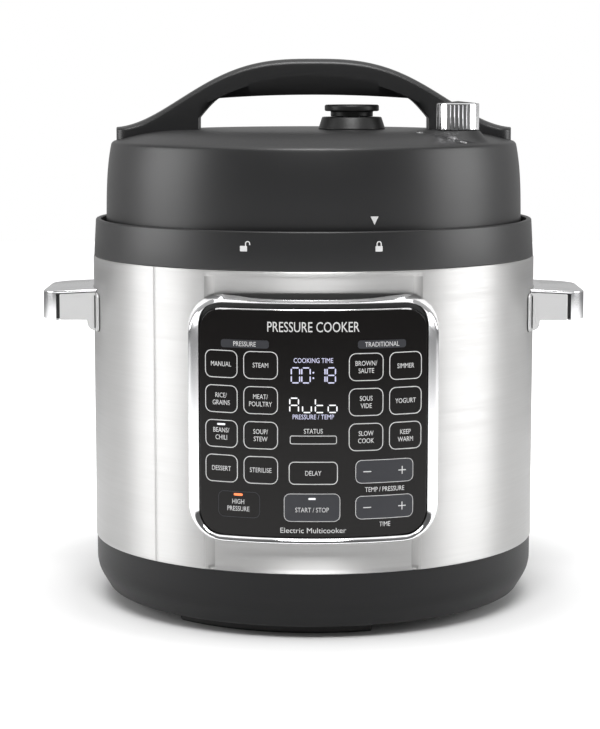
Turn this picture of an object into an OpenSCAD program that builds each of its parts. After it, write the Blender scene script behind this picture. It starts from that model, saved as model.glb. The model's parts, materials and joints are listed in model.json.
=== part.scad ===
// Electric pressure cooker: steel body, plastic base and collar, bayonet lid with a steam dial.
// Millimetres. +Z is up, the front faces -Y, and the origin is on the floor on the body's axis.

/* [Body] */
// Outer radius of the steel sleeve
body_r = 135.8; // [135.4:0.1:137]
// Height of the steel sleeve's lower edge
steel_z0 = 40; // [39.5:0.1:41]
// Height of the steel sleeve's upper edge
steel_z1 = 213; // [212.6:0.1:213.2]
// Thickness of the steel sleeve
steel_t = 0.8; // [0.6:0.1:0.9]
// Half width of the flat-bottomed recess down the front
recess_half = 56; // [54:0.5:58]
// Depth of the front recess
recess_deep = 2; // [1.2:0.1:2.2]
// Height of the top of the plastic collar
collar_top = 235.5; // [234.5:0.1:236]

/* [Feet] */
// Height of the foot pads
foot_h = 7; // [6.5:0.1:7]
// Angle that each foot pad covers
foot_span = 61.5; // [40:0.5:70]
// Angle from the front to the middle of the front foot pad
foot_turn = -13.3; // [-30:0.1:30]

/* [Panel] */
// Half width of the control panel's chrome bezel
bezel_half = 71.5; // [70.5:0.1:73]
// Height of the bezel's lower edge
bezel_z0 = 58.5; // [57:0.1:59]
// Height of the bezel's upper edge
bezel_z1 = 199.7; // [199:0.1:202]
// Half width of the panel's glass
glass_half = 65; // [62:0.1:66]
// Height of the glass's lower edge
glass_z0 = 62.5; // [62:0.1:64]
// Height of the glass's upper edge
glass_z1 = 192.4; // [190:0.1:193]

/* [Side handles] */
// Half of the width across both side handles
handle_reach = 165; // [162:0.5:170]
// Half length of a side handle
handle_half = 35; // [33:0.5:38]
// Height of a side handle's top at the body
handle_top = 193.5; // [190:0.5:200]

/* [Pot] */
// Outer radius of the inner pot
pot_r = 110; // [108:0.5:110.4]
// Height of the underside of the inner pot
pot_z0 = 56.6; // [56.6:0.1:58]
// Height of the underside of the inner pot's rim
pot_z1 = 208.6; // [208:0.1:208.6]
// Wall of the inner pot
pot_t = 1.6; // [1.2:0.1:1.8]

/* [Lid] */
// Height of the lid's flat crown
lid_top = 289.5; // [289.3:0.1:289.8]
// Radius of the lid's skirt
lid_r = 127.6; // [127.2:0.1:127.8]
// Wall of the lid cover
lid_t = 3; // [2.6:0.1:3.2]
// Top of the carrying arch at its middle
arch_top = 331.8; // [328:0.1:335]
// Half depth of the carrying arch, front to back
arch_half = 17; // [15:0.5:18]

/* [Steam dial and valve] */
// Travel of the steam dial, in degrees
dial_travel = 40; // [36:1:42]
// Rise of the steam valve at the end of the dial's travel
valve_rise = 3; // [2:0.1:3]
// Radius of the steam dial
dial_r = 12.5; // [12:0.1:12.8]
// Number of flutes round the steam dial
dial_flutes = 30; // [24:1:32]

/* [Hidden] */
$fn = 96;

gap = 0.3;
clear_fit = 0.06;

// Colours
charcoal = [0.15, 0.15, 0.155];
black = [0.05, 0.05, 0.055];
steel = [0.75, 0.75, 0.76];
chrome = [0.88, 0.88, 0.9];
satin = [0.82, 0.82, 0.82];
rubber = [0.1, 0.1, 0.1];
board_green = [0.1, 0.35, 0.2];
silicone = [0.85, 0.86, 0.84];
cast = [0.6, 0.6, 0.6];
red = [0.75, 0.1, 0.08];

// Base
base_r = body_r - 0.5;
base_wall = 2.6;
base_floor = foot_h + 2.6;
base_bend_r = 22;
base_bend_z = 27;
base_slope = 31;
base_foot_r = 4;
skirt_out = body_r - recess_deep - steel_t - 0.4;
skirt_in = skirt_out - 2;
post_r = 88;
post_turns = [30, 150, 270];
liner_z = 42;

// Collar, trough and bayonet
collar_r = body_r - 0.4;
collar_in = collar_r - 4.5;
trough_z = 216.6;
lip_in = 127;
ring_r = 126;
ring_top = 221;
liner_r = 114;
liner_top = 207.5;
lug_half = 13;
ring_lug_r = 121.5;
lid_lug_r = ring_lug_r - gap;
lug_turns = [0, 60, 120, 180, 240, 300];

// Heater and sensor
plate_z0 = 48;
plate_z1 = pot_z0 - 0.4;
plate_r = 94;
coil_r = 70;
coil_wire = 3.6;
coil_gap = 30;
terminal_z = 34;
sensor_r = 16;
sensor_stem = 8;
spring_z0 = liner_z;
spring_z1 = 52.9;
spring_r = 11;
spring_wire = 0.9;
spring_turns = 5;

// Panel
bezel_r = body_r + 6.2;
bezel_back = body_r + 0.25;
glass_r = bezel_r - 1;
carrier_r = glass_r - 2.4;
carrier_in = body_r - recess_deep + 0.2;
window_z0 = 70;
window_z1 = 188;
window_half = 54;
board_y = -121;
board_half = 45;
board_z0 = 80;
board_z1 = 180;

board_corners = [for (x = [-40, 40], z = [86, 174]) [x, z]];

// Side handles: arms up to the parting gap, then the outer bar; the plate on top falls outwards
gap_x = 153;
bar_x = 155;
bar_t = 4.5;
arm_z0 = 175;
flange_half = 42.5;
flange_wall = 1.2;
bar_z0 = 174.6;
plate_t = 1.6;
plate_gap = 0.5;
top_fall = 2.7;
screw_y = 15;
screw_down = 12;

// Rear
spout_y = 146;
cup_y0 = 139;
cup_y1 = 161;
cup_z0 = 170;
cup_z1 = 209;
cup_half = 29.5;
rail_z = 203;
inlet_y = 131;
inlet_z = 27.2;
inlet_cut = 33.4;
inlet_pin_places = [[-7, inlet_z - 2], [7, inlet_z - 2], [0, inlet_z + 2]];

// Lid
lid_bottom = 226.2;
skirt_top = 236;
shoulder_z = 282;
shoulder_r = 124;
crown_r = 73;
dish_z = 237.2;
dish_t = 1.2;
flange_z = 219.7;
arch_end = 121;
arch_curve_end = 124;
arch_foot_z = 290;
grip_half = 58;
leg_in = 70.4;
grip_z = 310.5;
boss_r = 60;
boss_turns = [30, 150, 270];
arch_screws = [[92, 8], [92, -8], [-92, 8], [-92, -8]];

// Steam valve, lever and dial. The lever swings on a post between the valve and the dial.
valve_at = [23.5, 0];
dial_at = [85, -58];
float_at = [62, -66];
lever_line = dial_at - valve_at;
lever_heading = atan2(lever_line[1], lever_line[0]);
valve_arm = 44;
crank_arm = norm(lever_line) - valve_arm;
crank_r = 8;
half_turn = dial_travel / 2;
lever_half_swing = atan2(crank_r * sin(half_turn), crank_arm - crank_r * cos(half_turn));
post_at = valve_at + valve_arm * [cos(lever_heading), sin(lever_heading)];
lever_z0 = 253.5;
lever_z1 = 256.5;
ramp_shift = valve_arm * sin(lever_half_swing);
ramp_low = 256.9;
peg_at = 9.5;
flange_low = 262;

// ---------------------------------------------------------------- shared shapes

// Height of the lid's outer surface at radius r
function crown_z(r) =
    r < crown_r ? lid_top
    : lid_top - (lid_top - shoulder_z) * pow((r - crown_r) / (shoulder_r - crown_r), 2.4);

// Radius of the lid's outer side at height z
function side_r(z) =
    let (t = max(0, (z - skirt_top) / (shoulder_z - skirt_top)))
    lid_r - 0.6 * t - (lid_r - shoulder_r - 0.6) * pow(t, 3.2);

// Points on a circular arc
function arc(c, r, a0, a1, n = 8) =
    [for (i = [0 : n]) let (a = a0 + (a1 - a0) * i / n) c + r * [cos(a), sin(a)]];

// Triangles that join n rings of m points each, with both ends closed
function skin_faces(n, m) = concat(
    [for (i = [0 : n - 2], j = [0 : m - 1]) [i * m + j, (i + 1) * m + j, i * m + (j + 1) % m]],
    [for (i = [0 : n - 2], j = [0 : m - 1])
        [(i + 1) * m + j, (i + 1) * m + (j + 1) % m, i * m + (j + 1) % m]],
    [[for (j = [0 : m - 1]) j]],
    [[for (j = [m - 1 : -1 : 0]) (n - 1) * m + j]]
);

module skin(rings) {
    polyhedron(
        points = [for (ring = rings) each ring],
        faces = skin_faces(len(rings), len(rings[0])),
        convexity = 6
    );
}

module at_angle(a, r) {
    rotate(a) translate([r, 0, 0]) children();
}

module ring(r_out, r_in, z0, z1) {
    translate([0, 0, z0]) difference() {
        cylinder(r = r_out, h = z1 - z0);
        translate([0, 0, -1]) cylinder(r = r_in, h = z1 - z0 + 2);
    }
}

module round_rect(half, z0, z1, r) {
    translate([-half + r, z0]) square([2 * (half - r), z1 - z0]);
    translate([-half, z0 + r]) square([2 * half, z1 - z0 - 2 * r]);
    for (x = [-half + r, half - r], z = [z0 + r, z1 - r]) translate([x, z]) circle(r = r);
}

// A prism towards the front whose outline is drawn in x and z
module front_prism(y0, y1) {
    translate([0, y1, 0]) rotate([90, 0, 0]) linear_extrude(height = y1 - y0) children();
}

module front_sector(half_angle, r) {
    polygon([
        [0, 0],
        r * [sin(-half_angle), -cos(half_angle)],
        [0, -1.2 * r],
        r * [sin(half_angle), -cos(half_angle)]
    ]);
}

// Points on a smooth curve through a list of points
function smooth(route, steps = 4) = concat(
    [for (i = [0 : len(route) - 2], k = [0 : steps - 1])
        let (
            t = k / steps,
            a = route[max(i - 1, 0)],
            b = route[i],
            c = route[i + 1],
            d = route[min(i + 2, len(route) - 1)]
        )
        0.5 * (2 * b + (c - a) * t + (2 * a - 5 * b + 4 * c - d) * t * t
            + (3 * b - a - 3 * c + d) * t * t * t)],
    [route[len(route) - 1]]
);

function unit(v) = v / norm(v);

// A round lead along a route, with eight sides
module cable(route, r) {
    line = smooth(route);
    n = len(line);
    skin([for (i = [0 : n - 1])
        let (
            along = unit(line[min(i + 1, n - 1)] - line[max(i - 1, 0)]),
            side = unit(cross(along, [0.31, 0.17, 0.93])),
            up = cross(side, along)
        )
        [for (k = [0 : 7]) line[i] + r * (cos(k * 45) * side + sin(k * 45) * up)]
    ]);
}

// A screw with its head down, drawn upward from the head's underside
module screw(head_r, head_h, shaft_r, shaft_h) {
    translate([0, 0, -head_h]) difference() {
        cylinder(r = head_r, h = head_h);
        translate([0, 0, -0.01]) cylinder(r = head_r * 0.5, h = head_h * 0.5, $fn = 6);
    }
    cylinder(r = shaft_r, h = shaft_h);
}

// ---------------------------------------------------------------- base and feet

// Outline of the base's outer side, from the top down to the flat underside
function base_side(inset = 0) =
    let (
        r0 = base_r - inset,
        bend = base_bend_r - inset,
        c = [r0 - bend, base_bend_z],
        knee = c + bend * [cos(base_slope), -sin(base_slope)],
        foot = base_foot_r,
        z_end = foot_h + inset,
        turn = 90 - base_slope,
        drop = knee[1] - z_end - foot * (1 - cos(turn)),
        low = knee - drop * [tan(base_slope), 1],
        c2 = low - foot * [cos(base_slope), -sin(base_slope)]
    )
    concat(
        [[r0, steel_z0]],
        arc(c, bend, 0, -base_slope, 8),
        arc(c2, foot, -base_slope, -90, 6)
    );

module inlet_opening(half, low, high) {
    translate([-half, inlet_y - 40, low]) cube([2 * half, 60, high - low]);
}

module base_shell() color(charcoal) {
    difference() {
        union() {
            rotate_extrude() difference() {
                polygon(concat(base_side(), [[0, foot_h], [0, steel_z0]]));
                polygon(concat(
                    base_side(base_wall),
                    [[0, base_floor], [0, steel_z0 + 1], [base_r - base_wall, steel_z0 + 1]]
                ));
            }
            ring(skirt_out, skirt_in, steel_z0 - 3, steel_z0 + 6);
            ring(base_r - 1, skirt_in, steel_z0 - 3, steel_z0);
            intersection() {
                translate([-20, inlet_y - base_wall, foot_h + 3])
                    cube([40, base_wall, steel_z0 - foot_h - 3]);
                rotate_extrude() polygon(concat(base_side(1), [[0, foot_h + 1], [0, steel_z0]]));
            }
            for (x = [-72, -18], y = [-30, 30]) translate([x, y, foot_h + 1]) cylinder(r = 3, h = 6);
        }
        translate([-17, inlet_y, inlet_z - 11.7]) cube([34, 20, 23.4]);
        inlet_opening(14, inlet_z - 9.7, inlet_z + 9.8);
        for (a = post_turns) at_angle(a, post_r) {
            translate([0, 0, foot_h - 1]) cylinder(r = 2.2, h = 6);
            translate([0, 0, foot_h - 1]) cylinder(r = 4.2, h = 2.4);
        }
        for (i = [-3 : 3], side = [-1, 1])
            translate([i * 9 - 1.5, side * 52 - 14, foot_h - 1]) cube([3, 28, 5]);
    }
}

module foot_pads() color(rubber) {
    for (k = [0 : 2]) rotate(-90 + foot_turn + k * 120 - foot_span / 2)
        rotate_extrude(angle = foot_span)
            polygon([[101, foot_h], [101, 1.5], [102.5, 0], [112, 0], [113.5, 1.5], [113.8, foot_h]]);
}

module base_screws() color(steel) {
    for (a = post_turns) at_angle(a, post_r)
        translate([0, 0, foot_h + 1.4]) screw(3.6, 1.4, 1.95, 16);
}

module liner_posts() color(charcoal) {
    for (a = post_turns) at_angle(a, post_r) ring(4.8, 2, base_floor, liner_z);
}

// ---------------------------------------------------------------- steel sleeve and collar

// Plan of the steel, a full circle with the recess cut from its front
module sleeve_plan(inset) {
    deep_r = body_r - recess_deep - inset;
    a0 = asin(recess_half / deep_r);
    a1 = asin((recess_half + 7) / body_r);
    steps = 10;
    far = body_r + 10;
    // The radius eases from the recess out to the full body
    ease = [for (i = [0 : steps])
        let (a = a0 + (a1 - a0) * i / steps, t = i / steps)
        (deep_r + recess_deep * t * t * (3 - 2 * t)) * [sin(a), -cos(a)]];
    difference() {
        circle(r = body_r - inset);
        difference() {
            front_sector(a0, far);
            circle(r = deep_r);
        }
        for (side = [0, 1]) mirror([side, 0]) polygon(concat(
            [deep_r * [sin(a0 - 0.5), -cos(a0 - 0.5)]],
            ease,
            [far * [sin(a1), -cos(a1)], far * [sin(a0 - 0.5), -cos(a0 - 0.5)]]
        ));
    }
}

module sleeve_outline() {
    difference() {
        sleeve_plan(0);
        sleeve_plan(steel_t);
    }
}

module handle_screw_places() {
    for (side = [-1, 1], y = [-screw_y, screw_y])
        translate([side * (body_r - 5), y, handle_top - screw_down]) rotate([0, side * 90, 0]) children();
}

module steel_sleeve() color(steel) {
    difference() {
        translate([0, 0, steel_z0]) linear_extrude(height = steel_z1 - steel_z0, convexity = 6)
            difference() {
                sleeve_outline();
                rotate(-45) translate([0, -body_r]) square([0.5, 0.5], center = true);
            }
        front_prism(-body_r - 5, -100) round_rect(window_half, window_z0, window_z1, 8);
        handle_screw_places() cylinder(r = 2.3, h = 12);
        for (x = [-20, 20]) translate([x, body_r - 10, 185]) rotate([-90, 0, 0]) cylinder(r = 1.8, h = 20);
    }
}

module top_collar() color(charcoal) {
    skirt = [skirt_in, skirt_out];
    difference() {
        union() {
            rotate_extrude() polygon([
                [skirt[1], steel_z1], [collar_r - 0.4, steel_z1], [collar_r, steel_z1 + 0.4],
                [collar_r - 1.25, collar_top - 0.9], [collar_r - 2, collar_top],
                [collar_in + 0.7, collar_top], [collar_in + 0.1, collar_top - 0.5],
                [collar_in, trough_z], [lip_in + 1.6, trough_z], [lip_in + 1.6, 223.1],
                [lip_in + 1.2, 223.5], [lip_in + 0.4, 223.5], [lip_in, 223.1],
                [lip_in, trough_z - 2.4], [skirt[0], trough_z - 2.4], [skirt[0], 205], [skirt[1], 205]
            ]);
            translate([-9, collar_in + 0.5, steel_z1 + gap]) cube([18, spout_y + 4 - collar_in, 6]);
        }
        translate([0, spout_y, steel_z1 - 1]) cylinder(r = 2.4, h = 5.6);
        translate([-2.4, collar_in - 1, trough_z]) cube([4.8, spout_y - collar_in + 1, 1.6]);
    }
}

module lugs(r_in, r_out, z0, z1, half) {
    for (a = lug_turns) rotate(a - half) rotate_extrude(angle = 2 * half)
        translate([r_in, z0]) square([r_out - r_in, z1 - z0]);
}

module locking_ring() color(steel) {
    ring(ring_r, ring_r - 2, liner_top, ring_top);
    lugs(ring_lug_r, ring_r - 1, 216.4, 219.4, lug_half);
}

// ---------------------------------------------------------------- liner, heater and sensor

module outer_pot() color(steel) {
    corner = 8;
    difference() {
        rotate_extrude() polygon(concat(
            [[30, liner_z]],
            arc([liner_r - corner, liner_z + corner], corner, -90, 0),
            [[liner_r, liner_top - 1], [ring_r, liner_top - 1], [ring_r, liner_top]],
            [[liner_r - 1, liner_top]],
            arc([liner_r - corner, liner_z + corner], corner - 1, 0, -90),
            [[30, liner_z + 1]]
        ));
        for (side = [-1, 1]) at_angle(90 + side * coil_gap / 2, coil_r)
            translate([0, 0, liner_z - 1]) cylinder(r = 5, h = 3);
    }
}

module heating_plate() color(cast) {
    difference() {
        union() {
            rotate_extrude() polygon([
                [18, plate_z0], [plate_r - 2, plate_z0], [plate_r, plate_z0 + 2],
                [plate_r, plate_z1 - 1], [plate_r - 1, plate_z1], [18, plate_z1]
            ]);
            for (a = [90, 210, 330]) at_angle(a, 84) translate([0, 0, liner_z + 1])
                cylinder(r = 4, h = plate_z0 - liner_z);
        }
        rotate_extrude() translate([coil_r, plate_z0]) circle(r = coil_wire + 0.1);
        ring(78.2, 72, plate_z1 - 0.8, plate_z1 + 1);
        ring(50.2, 44, plate_z1 - 0.8, plate_z1 + 1);
    }
}

module heating_element() color([0.35, 0.35, 0.36]) {
    rotate(90 + coil_gap / 2) rotate_extrude(angle = 360 - coil_gap)
        translate([coil_r, plate_z0]) circle(r = coil_wire);
    for (side = [-1, 1]) at_angle(90 + side * coil_gap / 2, coil_r) {
        translate([0, 0, plate_z0]) sphere(r = coil_wire);
        translate([0, 0, terminal_z]) cylinder(r = 2.6, h = plate_z0 - terminal_z);
    }
}

module sensor_bracket() color(steel) {
    difference() {
        ring(38, sensor_stem + 0.4, liner_z - 1, liner_z);
        for (a = [45 : 90 : 315]) at_angle(a, 24) translate([0, 0, liner_z - 2]) cylinder(r = 5, h = 4);
    }
}

module sensor_spring() color(steel) {
    steps = 16;
    turns = spring_turns;
    rise = spring_z1 - spring_z0 - 2 * spring_wire;
    count = turns * steps;
    skin([for (i = [0 : count])
        let (a = i * 360 / steps, z = spring_z0 + spring_wire + rise * i / count)
        [for (k = [0 : 7]) let (b = k * 45, r = spring_r + spring_wire * cos(b))
            [r * cos(a), r * sin(a), z + spring_wire * sin(b)]]
    ]);
}

module temperature_sensor() color(cast) {
    difference() {
        union() {
            translate([0, 0, 53]) cylinder(r = sensor_r, h = pot_z0 - gap - 53 - 0.8);
            translate([0, 0, pot_z0 - gap - 0.8]) cylinder(r1 = sensor_r, r2 = sensor_r - 0.8, h = 0.8);
            translate([0, 0, 38]) cylinder(r = sensor_stem, h = 15.5);
            translate([0, 0, 37]) cylinder(r = sensor_stem + 2.5, h = 1.5);
        }
        translate([0, 0, 36]) cylinder(r = sensor_stem - 3, h = 16);
    }
}

// ---------------------------------------------------------------- electrics

module power_board() color(board_green) {
    z = foot_h + 7;
    translate([-78, -36, z]) cube([66, 72, 1.6]);
    top = z + 1.5;
    translate([-74, -32, top]) cube([24, 22, 16]);
    translate([-44, -32, top]) cube([19, 15, 15]);
    translate([-74, 10, top]) cube([28, 10, 12]);
    translate([-40, 12, top]) cube([22, 12, 10]);
    translate([-66, 0, top]) cylinder(r = 5, h = 14);
    translate([-52, 0, top]) cylinder(r = 5, h = 14);
    translate([-36, -4, top]) cylinder(r = 4, h = 11);
}

module thermal_cutout() color(satin) {
    translate([34, 40, liner_z - 5]) cube([22, 6, 5]);
    translate([45, 37, liner_z - 1]) cylinder(r = 3, h = 1);
    translate([43, 36, liner_z - 1]) cube([4, 5, 1]);
}

module pressure_switch() color(black) {
    translate([46, -34, liner_z - 14]) cube([8, 22, 13]);
    translate([50, -23, liner_z - 1.5]) cylinder(r = 1.5, h = 1.5);
}

// Internal leads: mains to the power board, to the heater, and up to the control board
module wiring_harness() color([0.7, 0.7, 0.72]) {
    cable([[7, 98, 25.2], [7, 88, 25.2], [-18, 60, 20], [-30, 31, 20], [-30, 26, 24.8]], 1.6);
    cable([[-7, 98, 25.2], [-7, 92, 25.2], [-26, 62, 14], [-32, 37, 14]], 1.6);
    cable([[-18.1, 67.6, 33.5], [-22, 60, 29], [-24, 26, 29], [-24, 22, 25]], 1.4);
    cable([[18.1, 67.6, 33.5], [12, 50, 29], [-8, 26, 29], [-14, -6, 26], [-32, -24, 31.5]], 1.4);
    cable([[-50, -37.5, 20], [-50, -60, 24], [-30, -100, 30], [-24, -118, 40], [-24, -118, 82]], 2.2);
}

module control_board() color(board_green) {
    front_prism(board_y - 1.6, board_y) difference() {
        round_rect(board_half, board_z0, board_z1, 3);
        for (c = board_corners) translate(c) circle(r = 1.4);
    }
    translate([-20, board_y - 0.1, 92]) cube([30, 3.5, 20]);
    translate([-38, board_y - 0.1, 120]) cube([10, 4, 24]);
    translate([16, board_y - 0.1, 150]) cube([14, 3, 14]);
    translate([-14, board_y - 0.1, 160]) rotate([-90, 0, 0]) cylinder(r = 6, h = 5);
}

module board_screws() color(steel) {
    for (c = board_corners) translate([c[0], board_y, c[1]]) rotate([90, 0, 0])
        screw(2.8, 1.6, 1.2, 6);
}

module display_module() color([0.08, 0.08, 0.1]) {
    translate([-24, board_y - 10, 128]) cube([48, 8.3, 38]);
}

// ---------------------------------------------------------------- control panel

module curved_panel(r_out, r_in, half, z0, z1, corner) {
    intersection() {
        ring(r_out, r_in, z0 - 5, z1 + 5);
        front_prism(-r_out - 5, -90) round_rect(half, z0, z1, corner);
    }
}

module panel_carrier() color(black) {
    difference() {
        union() {
            curved_panel(carrier_r, bezel_back, bezel_half - 4.5, glass_z0 - 1.5, glass_z1 + 5, 14);
            curved_panel(bezel_back + 0.5, carrier_in, window_half - 0.5,
                window_z0 + 0.5, window_z1 - 0.5, 7.5);
            curved_panel(bezel_back + 0.5, body_r - recess_deep + 0.1, recess_half - 5,
                glass_z0, glass_z1 + 5, 3);
            for (c = board_corners) translate([c[0], board_y - 1.6, c[1]]) rotate([90, 0, 0])
                cylinder(r = 3, h = 9);
        }
        front_prism(-carrier_r - 5, -100) round_rect(25, 127, 167, 2);
        for (c = board_corners) translate([c[0], board_y, c[1]]) rotate([90, 0, 0])
            cylinder(r = 1.25, h = 9);
    }
}

module panel_bezel() color(chrome) {
    ledge = 7;
    intersection() {
        difference() {
            rotate_extrude() polygon([
                [bezel_back, bezel_z0], [bezel_r - 1.5, bezel_z0], [bezel_r, bezel_z0 + 1.5],
                [bezel_r, bezel_z1 - ledge + 2], [bezel_r - 0.6, bezel_z1 - ledge + 3.4],
                [bezel_back + 1, bezel_z1], [bezel_back, bezel_z1]
            ]);
            front_prism(-bezel_r - 5, -90)
                round_rect(glass_half + 0.4, glass_z0 - 0.4, glass_z1 + 2.8, 13.4);
            curved_panel(carrier_r + 0.1, bezel_back - 5, bezel_half - 4.4,
                glass_z0 - 1.6, glass_z1 + 5.1, 14);
        }
        front_prism(-bezel_r - 5, -90) round_rect(bezel_half, bezel_z0 - 1, bezel_z1 + 1, 20);
    }
}

module panel_glass() color([0.02, 0.02, 0.025]) {
    curved_panel(glass_r, carrier_r, glass_half, glass_z0, glass_z1, 13);
}

// ---------------------------------------------------------------- side handles

// Plan of the handle: straight sides with two large corners at the outer end
module handle_plan(inset, r) {
    half = handle_half - inset;
    reach = handle_reach - inset;
    c = max(r - inset, 0.5);
    translate([body_r - 20, -half]) square([reach - c - body_r + 20, 2 * half]);
    translate([body_r - 20, -half + c]) square([reach - body_r + 20, 2 * (half - c)]);
    for (y = [-half + c, half - c]) translate([reach - c, y]) circle(r = c);
}

module handle_slab(z0, z1, inset) {
    translate([0, 0, z0]) linear_extrude(height = z1 - z0) handle_plan(inset, 13);
}

module above_slope(drop) {
    translate([body_r, -60, handle_top - drop]) rotate([0, top_fall, 0])
        translate([-30, 0, 0]) cube([90, 120, 20]);
}

module handle_grip() {
    difference() {
        union() {
            intersection() {
                handle_slab(handle_top - 8, handle_top + 2, 0);
                above_slope(plate_t);
            }
            intersection() {
                difference() {
                    handle_slab(bar_z0, handle_top - 2, 0);
                    translate([0, 0, bar_z0 - 1]) linear_extrude(height = 30) handle_plan(bar_t, 13);
                }
                translate([bar_x, -60, 150]) cube([30, 120, 60]);
            }
        }
        above_slope(0);
        translate([0, 0, 160]) cylinder(r = body_r + gap, h = 60);
    }
}

module handle_bracket() {
    difference() {
        union() {
            // Arms, with a core behind the parting gap and the outer bar
            for (side = [-1, 1]) translate([body_r - 5, side * (handle_half - 2.85) - 2.65, arm_z0])
                cube([gap_x - body_r + 5, 5.3, handle_top - arm_z0]);
            translate([0, 0, arm_z0 + 0.5]) linear_extrude(height = handle_top - arm_z0) difference() {
                handle_plan(bar_t + 0.4, 13);
                handle_plan(bar_t + 3, 13);
            }
            // Thin flange that wraps round the body, past the arms
            intersection() {
                ring(body_r + flange_wall, body_r, arm_z0 - 6.5, handle_top);
                translate([100, 0, 0]) rotate([90, 0, 90]) linear_extrude(height = 50)
                    round_rect(flange_half, arm_z0 - 6.5, handle_top + 10, 4);
            }
            // Foot against the body
            intersection() {
                ring(body_r + 3.6, body_r, arm_z0 - 6.5, handle_top);
                translate([100, 0, 0]) rotate([90, 0, 90]) linear_extrude(height = 50)
                    round_rect(handle_half - 0.6, arm_z0 - 6.5, handle_top + 10, 6);
            }
            for (y = [-screw_y, screw_y]) translate([body_r + 1, y, handle_top - screw_down])
                rotate([0, 90, 0]) cylinder(r = 4.5, h = 6);
        }
        above_slope(plate_t + plate_gap);
        translate([0, 0, 150]) cylinder(r = body_r + 0.05, h = 60);
        for (y = [-screw_y, screw_y]) translate([body_r - 5, y, handle_top - screw_down])
            rotate([0, 90, 0]) cylinder(r = 2, h = 13);
    }
}

module left_handle_bracket() color(satin) mirror([1, 0, 0]) handle_bracket();
module right_handle_bracket() color(satin) handle_bracket();
module left_handle_grip() color(chrome) mirror([1, 0, 0]) handle_grip();
module right_handle_grip() color(chrome) handle_grip();

module side_handle_screws() color(steel) {
    handle_screw_places() translate([0, 0, 2.6]) screw(3.8, 2, 1.95, 8.5);
}

// ---------------------------------------------------------------- rear: power inlet and collector

module power_inlet() color(black) {
    difference() {
        union() {
            translate([-16.5, inlet_y, inlet_z - 11.2]) cube([33, 2, 22.4]);
            translate([-13.7, inlet_y - 25, inlet_z - 9.4]) cube([27.4, 26, 18.9]);
        }
        translate([-12, inlet_y - 13, inlet_z - 8.3]) cube([24, 16, 11.6]);
        intersection() {
            translate([-12, inlet_y - 13, inlet_z - 8.3]) cube([24, 16, 16.6]);
            translate([0, inlet_y - 14, inlet_z - 8.3]) rotate([0, 45, 0])
                cube([inlet_cut, 40, inlet_cut], center = true);
        }
        for (p = inlet_pin_places) translate([p[0] - 1.1, inlet_y - 30, p[1] - 2.1]) cube([2.2, 40, 4.2]);
    }
}

module inlet_pins() color(steel) {
    for (p = inlet_pin_places) translate([p[0] - 1.05, inlet_y - 31, p[1] - 2.05]) cube([2.1, 30, 4.1]);
}

module collector_bracket() color(charcoal) {
    difference() {
        union() {
            intersection() {
                ring(body_r + 2.6, body_r + 0.05, cup_z0, cup_z1);
                translate([-33, 0, 0]) cube([66, 200, 300]);
            }
            for (side = [-1, 1]) translate([side * 31.5 - 1.5, body_r - 2.5, rail_z - 3.5])
                cube([3, cup_y1 - 3 - body_r, 3.5]);
        }
        translate([0, 0, 150]) cylinder(r = body_r + 0.05, h = 70);
        for (x = [-20, 20]) translate([x, body_r - 10, 185]) rotate([-90, 0, 0]) cylinder(r = 1.5, h = 20);
    }
}

module condensation_collector() color([0.2, 0.2, 0.21]) {
    wall = 1.8;
    corner = 4;
    difference() {
        union() {
            translate([0, 0, cup_z0]) linear_extrude(height = cup_z1 - cup_z0) cup_plan(0, corner);
            for (side = [-1, 1]) translate([side * (cup_half + 1.2) - 1.7, cup_y0 + 1, rail_z + gap])
                cube([3.4, cup_y1 - cup_y0 - 6, 2.2]);
        }
        translate([0, 0, cup_z0 + wall]) linear_extrude(height = cup_z1) cup_plan(wall, corner);
    }
}

module cup_plan(inset, r) {
    c = r - inset;
    y0 = cup_y0 + inset;
    y1 = cup_y1 - inset;
    half = cup_half - inset;
    translate([-half, y0]) square([2 * half, y1 - y0 - c]);
    translate([-half + c, y0]) square([2 * (half - c), y1 - y0]);
    for (x = [-half + c, half - c]) translate([x, y1 - c]) circle(r = c);
}

// ---------------------------------------------------------------- inner pot and seal

module inner_pot() color(steel) {
    corner = 12;
    c = [pot_r - corner, pot_z0 + corner];
    rim = pot_r + 5.4;
    rotate_extrude() polygon(concat(
        [[0, pot_z0]],
        arc(c, corner, -90, 0),
        [[pot_r, pot_z1 - 2], [pot_r + 1, pot_z1], [rim - 0.4, pot_z1], [rim, pot_z1 + 0.5]],
        [[rim, pot_z1 + 1.1], [rim - 0.4, pot_z1 + pot_t], [pot_r + 0.4, pot_z1 + pot_t]],
        [[pot_r - pot_t, pot_z1 - 1]],
        arc(c, corner - pot_t, 0, -90),
        [[0, pot_z0 + pot_t]]
    ));
}

module sealing_ring() color(silicone) {
    z0 = pot_z1 + pot_t + gap;
    top = flange_z - dish_t - gap;
    rotate_extrude() polygon([
        [107, z0], [114.6, z0], [115.2, z0 + 0.7], [115.2, top - 0.6], [114.6, top],
        [108.5, top], [108.5, top - 2], [112.4, top - 2], [112.4, top - 5.2], [107, z0 + 1.8]
    ]);
}

// ---------------------------------------------------------------- lid

module boss_places() {
    for (a = boss_turns) at_angle(a, boss_r) children();
}

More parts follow.
